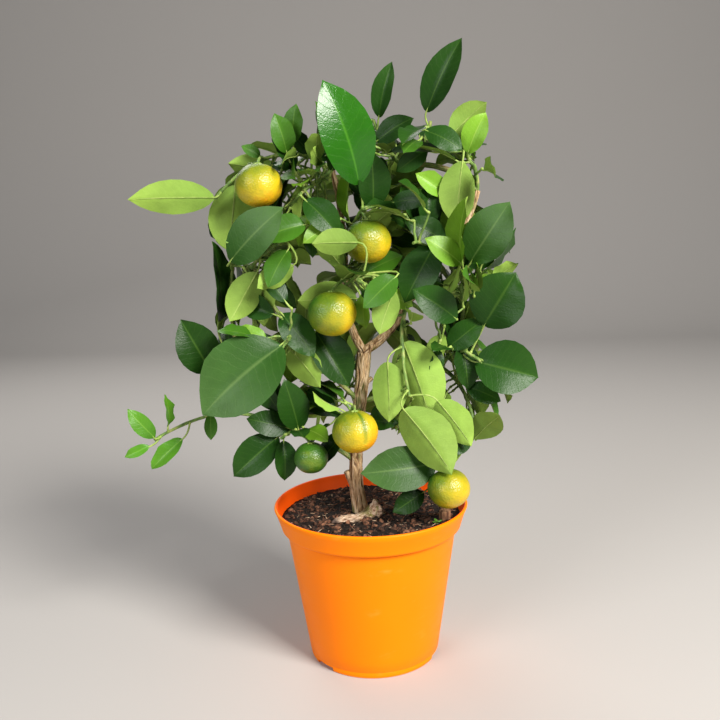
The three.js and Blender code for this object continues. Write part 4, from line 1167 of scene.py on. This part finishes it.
# The stems, twigs, stalks and buds: green wood no thicker than a match. Each leaf's stalk runs on
# under its blade as the midrib, and a small bud sits where each stalk leaves the wood.
STEM_AROUND = 10
STEM_STEPS = 26
TWIG_AROUND = 8
TWIG_STEPS = 10
TWIG_RADII = (1.0, 0.75)
STALK_AROUND = 6
STALK_STEPS = 5
RIB_SHARES = (0.12, 0.3, 0.5, 0.7, 0.9)
STALK_RADII = (0.8, 0.62)
RIB_RADII = (0.42, 0.34, 0.27, 0.2, 0.1)
RIB_DROP = -0.27
BUD_SIZE = (1.15, 1.15, 1.7)


def tube_unit(around, steps):
    """A closed tube of unit radius whose rows stand one apart."""
    shape = bmesh.new()
    bmesh.ops.create_grid(shape, x_segments=around, y_segments=steps, size=0.5)
    for vert in shape.verts:
        angle = tau * (vert.co.x + 0.5)
        vert.co = (cos(angle), sin(angle), round((vert.co.y + 0.5) * steps))
    bmesh.ops.remove_doubles(shape, verts=shape.verts, dist=1e-4)
    bmesh.ops.holes_fill(shape, edges=[edge for edge in shape.edges if edge.is_boundary], sides=0)
    bmesh.ops.recalc_face_normals(shape, faces=shape.faces)
    return shape


def tubes(name, around, lines):
    """Joins a tube along each (points, radii) line in millimetres."""
    steps = len(lines[0][0]) - 1
    shape = tube_unit(around, steps)
    corners = np.array([vert.co[:] for vert in shape.verts])
    rows = corners[:, 2].round().astype(int)
    moved = []
    for points, radii in lines:
        _, firsts, seconds = frames_along(np.array(points))
        aside = corners[:, :1] * firsts[rows] + corners[:, 1:2] * seconds[rows]
        moved.append(np.array(points)[rows] + np.array(radii)[rows, None] * aside)
    made = joined(name, shape, np.array(moved) * MM)
    made.data.set_sharp_from_angle(angle=radians(60))
    return made


def wobbled(points, amount, key):
    """Adds the slight bends of living wood to a line, but not at its ends."""
    shares = np.linspace(0, 1, len(points))
    bends = np.array([noise.noise_vector(Vector((key * 7.3, 0, share * 4)))[:] for share in shares])
    return points + bends * amount * np.sin(pi * shares)[:, None]


stem_lines = []
for index, owner in enumerate(MASSES):
    line = wobbled(places_along(stem_path(owner), STEM_STEPS), 2.2, index + 1)
    knots = [1 + 0.14 * max(0, sin(step * 1.3 + index)) ** 3 for step in range(STEM_STEPS + 1)]
    stem_lines.append((line, np.linspace(*STEM_RADII, STEM_STEPS + 1) * knots))
twig_lines = []
for index, (root, end, _) in enumerate(twigs):
    line = wobbled(np.linspace(root, end, TWIG_STEPS + 1), 0.06 * np.linalg.norm(end - root), index + 60)
    twig_lines.append((line, np.linspace(*TWIG_RADII, TWIG_STEPS + 1)))
stalk_lines = []
buds = []
for leaf in leaves:
    reach = np.linalg.norm(leaf["base"] - leaf["root"])
    bend = leaf["base"] - leaf["ahead"] * reach * 0.45
    shares = np.linspace(0, 1, STALK_STEPS + 1)[:, None]
    stalk = (1 - shares) ** 2 * leaf["root"] + 2 * shares * (1 - shares) * bend + shares ** 2 * leaf["base"]
    rib = leaf_points(leaf, np.array(RIB_SHARES), np.zeros(len(RIB_SHARES)), RIB_DROP)
    stalk_radii = np.linspace(*STALK_RADII, STALK_STEPS + 1)
    stalk_lines.append((np.concatenate([stalk, rib]), np.concatenate([stalk_radii, RIB_RADII])))
    away = Vector(stalk[1] - stalk[0])
    upright = away.to_track_quat("Z", "Y").to_matrix().to_4x4()
    size = Matrix.Diagonal((*(part * MM for part in BUD_SIZE), 1))
    buds.append(Matrix.Translation(Vector(stalk[0] + unit(np.array(away)) * 0.9) * MM) @ upright @ size)

green_stem, nodes, links, shader = new_material("green_stem", 0.55, Specular_IOR_Level=0.4)
coords = nodes.new("ShaderNodeTexCoord")
lengths = noise_node(nodes, links, coords.outputs["Object"], 300, detail=5, stretch=(1, 1, 0.4))
stem_green = ramp_node(
    nodes, links, lengths, (0.34, (0.07, 0.13, 0.025)), (0.52, (0.15, 0.26, 0.045)), (0.68, (0.34, 0.36, 0.11)))
links.new(stem_green, shader.inputs["Base Color"])
bump_node(nodes, links, shader, lengths, 0.4, 0.0003)
pale_stalk, nodes, links, shader = new_material("pale_stalk", 0.6, Specular_IOR_Level=0.4)
coords = nodes.new("ShaderNodeTexCoord")
lengths = noise_node(nodes, links, coords.outputs["Object"], 260, detail=4)
stalk_green = ramp_node(nodes, links, lengths, (0.35, (0.20, 0.32, 0.05)), (0.65, (0.36, 0.46, 0.11)))
links.new(stalk_green, shader.inputs["Base Color"])
bump_node(nodes, links, shader, lengths, 0.3, 0.0002)
bud_shape = bmesh.new()
bmesh.ops.create_icosphere(bud_shape, subdivisions=2, radius=1)
for piece, skin in (
        (tubes("leaf_stems", STEM_AROUND, stem_lines), green_stem),
        (tubes("leaf_twigs", TWIG_AROUND, twig_lines), green_stem),
        (tubes("leaf_stalks", STALK_AROUND, stalk_lines), pale_stalk),
        (strewn("leaf_buds", bud_shape, buds), pale_stalk)):
    piece.data.materials.append(skin)
    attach(piece, "root")
    if piece.name == "leaf_stems":
        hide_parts(*MASSES)

# The leaves: leathery pointed blades, folded a little along a paler midrib and a little waved at
# their rims, dark and waxy above and matt yellow-green below. Young ones are fresher green, and a
# few that lie flat to the light have a painted sheen: their colour pales from dark green at the base
# to grey-green at the tip, in place of a soft highlight.
BLADE_ACROSS = 6
BLADE_ALONG = 12
BLADE_THICK = 0.4
BLADE_WAVE = (0.3, 1.1)
BLADE_FOLD = (0.9, 3.0)
BLADE_TWIST = 0.22
BLADE_SWEEP = 0.16
VEIN_PAIRS = 11
VEIN_SLANT = 1.7


def blade_unit():
    """Two sheets that share a rim, the upper at height 1 and the lower at -1, with a point at each end."""
    shape = bmesh.new()
    bmesh.ops.create_grid(shape, x_segments=BLADE_ACROSS, y_segments=BLADE_ALONG, size=1)
    for vert in shape.verts:
        rim = abs(vert.co.x) > 0.99 or abs(vert.co.y) > 0.99
        vert.co.z = 0 if rim else 1
        if abs(vert.co.y) > 0.99:
            vert.co.x = 0
        vert.co.y = sin(pi / 2 * vert.co.y)
    copy = bmesh.ops.duplicate(shape, geom=shape.verts[:] + shape.edges[:] + shape.faces[:])["geom"]
    lower = [part for part in copy if isinstance(part, bmesh.types.BMFace)]
    for face in lower:
        face.material_index = 1
    for vert in {vert for face in lower for vert in face.verts}:
        vert.co.z = -vert.co.z
    bmesh.ops.reverse_faces(shape, faces=lower)
    bmesh.ops.remove_doubles(shape, verts=shape.verts, dist=1e-4)
    return shape


def blade(leaf, corners, draw):
    """The corners of one leaf in millimetres, shaped from the unit blade."""
    across, shares, sheets = corners[:, 0], (corners[:, 1] + 1) / 2, corners[:, 2]
    bend = LEAF_ARCH * shares
    taper = np.sin(pi * shares ** 0.92).clip(0) ** (0.66 + 0.4 * shares ** 6)
    taper = np.where((shares > 0.001) & (shares < 0.999), taper, 0)
    waves = between(*BLADE_WAVE, draw.random()) * np.sin(tau * (2.5 * shares + draw.random())) * across ** 2
    twist = BLADE_TWIST * (draw.random() - 0.5) * 2 * shares
    fold = LEAF_FOLD * between(*BLADE_FOLD, draw.random() ** 2)
    sweep = BLADE_SWEEP * (draw.random() - 0.5) * leaf["length"] * (shares - 0.5) ** 2
    above = np.cos(bend)[:, None] * leaf["normal"] + np.sin(bend)[:, None] * leaf["ahead"]
    aside = across * leaf["blade"] / 2 * taper
    side = np.cos(twist)[:, None] * leaf["side"] + np.sin(twist)[:, None] * above
    lift = np.abs(aside) * fold + waves * np.sign(taper) * (1 + across * 0.4)
    lift = lift + sheets * BLADE_THICK / 2 * (1 - across ** 2)
    return (leaf["base"]
            + (leaf["length"] * np.sin(bend) / LEAF_ARCH)[:, None] * leaf["ahead"]
            - (leaf["length"] * (1 - np.cos(bend)) / LEAF_ARCH)[:, None] * leaf["normal"]
            + aside[:, None] * side + lift[:, None] * above + sweep[:, None] * leaf["side"])


def math_node(nodes, links, kind, *values):
    """A math node of numbers and outputs."""
    made = nodes.new("ShaderNodeMath")
    made.operation = kind
    for socket, value in zip(made.inputs, values):
        if isinstance(value, bpy.types.NodeSocket):
            links.new(value, socket)
        else:
            socket.default_value = value
    return made.outputs[0]


leaf_veins = bpy.data.node_groups.new("leaf_veins", "ShaderNodeTree")
leaf_veins.interface.new_socket("UV", in_out="INPUT", socket_type="NodeSocketVector")
leaf_veins.interface.new_socket("Midrib", in_out="OUTPUT", socket_type="NodeSocketFloat")
leaf_veins.interface.new_socket("Veins", in_out="OUTPUT", socket_type="NodeSocketFloat")
nodes, links = leaf_veins.nodes, leaf_veins.links
split = nodes.new("ShaderNodeSeparateXYZ")
links.new(nodes.new("NodeGroupInput").outputs["UV"], split.inputs[0])
middle = math_node(nodes, links, "SUBTRACT", split.outputs["X"], 0.5)
outward = math_node(nodes, links, "MULTIPLY", math_node(nodes, links, "ABSOLUTE", middle), 2.0)
midrib = math_node(nodes, links, "SUBTRACT", 1.15, math_node(nodes, links, "MULTIPLY", outward, 16.0))
slant = math_node(nodes, links, "MULTIPLY", outward, -VEIN_SLANT)
phase = math_node(nodes, links, "ADD", math_node(nodes, links, "MULTIPLY", split.outputs["Y"], VEIN_PAIRS), slant)
wander = noise_node(nodes, links, split.inputs[0].links[0].from_socket, 6)
phase = math_node(nodes, links, "MULTIPLY_ADD", wander, 0.9, phase)
saw = math_node(nodes, links, "PINGPONG", phase, 0.5)
vein = math_node(nodes, links, "SUBTRACT", 1.0, math_node(nodes, links, "MULTIPLY", saw, 12.0))
ends = nodes.new("NodeGroupOutput")
for source, name in ((midrib, "Midrib"), (vein, "Veins")):
    clear_edge = math_node(nodes, links, "MAXIMUM", source, 0.0)
    links.new(math_node(nodes, links, "MINIMUM", clear_edge, 1.0), ends.inputs[name])


def leaf_skin(name, colour, tip, vein_colour, rough, vein_share, specular=0.3):
    """A leaf face that runs from one colour at its base to another at its tip, with veins."""
    material, nodes, links, shader = new_material(name, rough, Specular_IOR_Level=specular)
    coords = nodes.new("ShaderNodeTexCoord")
    veins = nodes.new("ShaderNodeGroup")
    veins.node_tree = leaf_veins
    links.new(coords.outputs["UV"], veins.inputs["UV"])
    apart = nodes.new("ShaderNodeSeparateXYZ")
    links.new(coords.outputs["UV"], apart.inputs[0])
    body = ramp_node(nodes, links, apart.outputs["Y"], (0.15, colour), (0.95, tip))
    mottle = noise_node(nodes, links, coords.outputs["Object"], 95, detail=4)
    shade = nodes.new("ShaderNodeAttribute")
    shade.attribute_name = "shade"
    tint = nodes.new("ShaderNodeHueSaturation")
    links.new(body, tint.inputs["Color"])
    value = math_node(nodes, links, "MULTIPLY_ADD", mottle, 0.5, shade.outputs["Fac"])
    links.new(value, tint.inputs["Value"])
    share = math_node(nodes, links, "MULTIPLY", veins.outputs["Veins"], vein_share)
    veined = mix_node(nodes, links, share, tint.outputs["Color"], vein_colour)
    rib = math_node(nodes, links, "MULTIPLY", veins.outputs["Midrib"], 5 * vein_share)
    links.new(mix_node(nodes, links, rib, veined, vein_colour), shader.inputs["Base Color"])
    fine = noise_node(nodes, links, coords.outputs["Object"], 650, detail=3)
    grooves = math_node(nodes, links, "MAXIMUM", veins.outputs["Veins"], veins.outputs["Midrib"])
    height = math_node(nodes, links, "MULTIPLY_ADD", grooves, -0.3, fine)
    bump_node(nodes, links, shader, height, 0.35, 0.0004)
    return material


LEAF_TONES = {
    "dark": leaf_skin("leaf_dark", (0.010, 0.042, 0.004), (0.015, 0.054, 0.005), (0.06, 0.13, 0.018), 0.34, 0.11, specular=0.17),
    "mid": leaf_skin("leaf_mid", (0.034, 0.110, 0.007), (0.044, 0.135, 0.010), (0.12, 0.24, 0.03), 0.38, 0.11, specular=0.2),
    "fresh": leaf_skin("leaf_fresh", (0.11, 0.25, 0.012), (0.15, 0.30, 0.018), (0.28, 0.44, 0.06), 0.42, 0.12),
    "young": leaf_skin("leaf_young", (0.05, 0.17, 0.008), (0.075, 0.22, 0.011), (0.20, 0.38, 0.045), 0.36, 0.1),
    # This tone paints a soft sheen into the colour: its paler grey-green tip stands for light glancing off the waxy
    # blade, not for the leaf's own green.
    "grey": leaf_skin("leaf_painted_sheen", (0.017, 0.060, 0.006), (0.048, 0.110, 0.024), (0.11, 0.19, 0.05), 0.40, 0.11, specular=0.2),
    "glossy": leaf_skin("leaf_glossy", (0.010, 0.070, 0.002), (0.016, 0.10, 0.003), (0.07, 0.24, 0.015), 0.22, 0.1),
}
leaf_underside = leaf_skin(
    "leaf_underside", (0.18, 0.30, 0.045), (0.215, 0.335, 0.05), (0.30, 0.42, 0.09), 0.62, 0.14, specular=0.2)

leaf_draw = Random(11)
for tone, skin in LEAF_TONES.items():
    unit_shape = blade_unit()
    corners = np.array([vert.co[:] for vert in unit_shape.verts])
    same = [leaf for leaf in leaves if leaf["tone"] == tone]
    made = joined(f"leaves_{tone}", unit_shape, np.array([blade(leaf, corners, leaf_draw) for leaf in same]) * MM)
    mesh = made.data
    loops = np.empty(len(mesh.loops), dtype=int)
    mesh.loops.foreach_get("vertex_index", loops)
    on_blade = np.tile(corners[:, :2] / 2 + 0.5, (len(same), 1))
    mesh.uv_layers.new(name="blade").data.foreach_set("uv", on_blade[loops].ravel())
    shades = np.repeat([between(0.55, 1.05, leaf_draw.random()) for _ in same], len(corners))
    mesh.attributes.new("shade", "FLOAT", "POINT").data.foreach_set("value", shades)
    mesh.materials.append(skin)
    mesh.materials.append(leaf_underside)
    mesh.set_sharp_from_angle(angle=radians(70))
    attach(made, "root")

# The fruit: small round citrus fruit a little squashed, with finely pitted skin that ripens from
# green through yellow to orange from its sunny side. Each hangs from a green five-pointed cap.
FRUIT_AROUND = 72
FRUIT_DOWN = 44
FRUIT_DIMPLE = 0.9
CAP_RADIUS = 3.0
CAP_POINTS = 5
GROOVE_BEARING = -62
GROOVE_WIDTH = 7

fruit_unit = bmesh.new()
bmesh.ops.create_uvsphere(fruit_unit, u_segments=FRUIT_AROUND, v_segments=FRUIT_DOWN, radius=1)
ball = np.array([vert.co[:] for vert in fruit_unit.verts])
fruit_corners = []
ripeness = []
fruit_stalks = []
caps = []
for owner, root, centre, radius in fruits:
    _, _, sun, ripe = FRUIT[owner]
    bearings = np.degrees(np.arctan2(ball[:, 1], ball[:, 0]))
    turned_off = (bearings - GROOVE_BEARING + 180) % 360 - 180
    groove = np.exp(-(turned_off / GROOVE_WIDTH) ** 2) * (ball[:, 2] > -0.35) * (owner == "low_centre")
    lumps = np.array([noise.noise(Vector(corner) * 1.6 + Vector(centre)) for corner in ball])
    patches = np.array([noise.fractal(Vector(corner) * 2.6 + Vector(centre), 0.8, 2, 4) for corner in ball])
    dimple = FRUIT_DIMPLE * np.exp(-((1 - ball[:, 2]) / 0.035))
    out = ball * (radius * (1 + 0.025 * lumps) - 0.55 * groove)[:, None]
    out[:, 2] = out[:, 2] * FRUIT_SQUASH - dimple
    fruit_corners.append(centre + out)
    ripeness.append(ripe + 0.36 * (ball @ unit(np.array(sun, dtype=float))) + 0.1 * patches - 0.3 * groove)
    top = centre + UP * (radius * FRUIT_SQUASH - FRUIT_DIMPLE)
    shares = np.linspace(0, 1, TWIG_STEPS + 1)[:, None]
    hook = top + UP * max(2.0, 0.5 * np.linalg.norm(root - top))
    hook = (hook + root) / 2
    line = (1 - shares) ** 2 * root + 2 * shares * (1 - shares) * hook + shares ** 2 * top
    fruit_stalks.append((line, np.linspace(0.9, 1.15, TWIG_STEPS + 1)))
    caps.append(Matrix.Translation(Vector(top + UP * 0.35) * MM) @ Matrix.Scale(CAP_RADIUS * MM, 4))
fruit_balls = joined("fruit_balls", fruit_unit, np.array(fruit_corners) * MM)
fruit_balls.data.attributes.new("ripe", "FLOAT", "POINT").data.foreach_set("value", np.concatenate(ripeness))

fruit_peel, nodes, links, shader = new_material("fruit_peel", 0.36, Specular_IOR_Level=0.5)
coords = nodes.new("ShaderNodeTexCoord")
ripe_side = nodes.new("ShaderNodeAttribute")
ripe_side.attribute_name = "ripe"
peel = ramp_node(
    nodes, links, ripe_side.outputs["Fac"],
    (0.0, (0.035, 0.115, 0.008)), (0.25, (0.13, 0.19, 0.008)), (0.45, (0.30, 0.29, 0.008)),
    (0.7, (0.60, 0.42, 0.008)), (1.0, (0.82, 0.27, 0.004)))
links.new(peel, shader.inputs["Base Color"])
pits = nodes.new("ShaderNodeTexVoronoi")
pits.inputs["Scale"].default_value = 850
links.new(coords.outputs["Object"], pits.inputs["Vector"])
bump_node(nodes, links, shader, pits.outputs["Distance"], 0.5, 0.0005)
fruit_balls.data.materials.append(fruit_peel)
cap_shape = bmesh.new()
bmesh.ops.create_uvsphere(cap_shape, u_segments=30, v_segments=8, radius=1)
for vert in cap_shape.verts:
    lobe = 0.72 + 0.28 * cos(CAP_POINTS * atan2(vert.co.y, vert.co.x))
    vert.co = (vert.co.x * lobe, vert.co.y * lobe, vert.co.z * 0.26)
fruit_caps = strewn("fruit_caps", cap_shape, caps)
fruit_caps.data.materials.append(pale_stalk)
fruit_hangers = tubes("fruit_hangers", TWIG_AROUND, fruit_stalks)
fruit_hangers.data.materials.append(green_stem)
for piece in (fruit_balls, fruit_caps, fruit_hangers):
    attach(piece, "root")
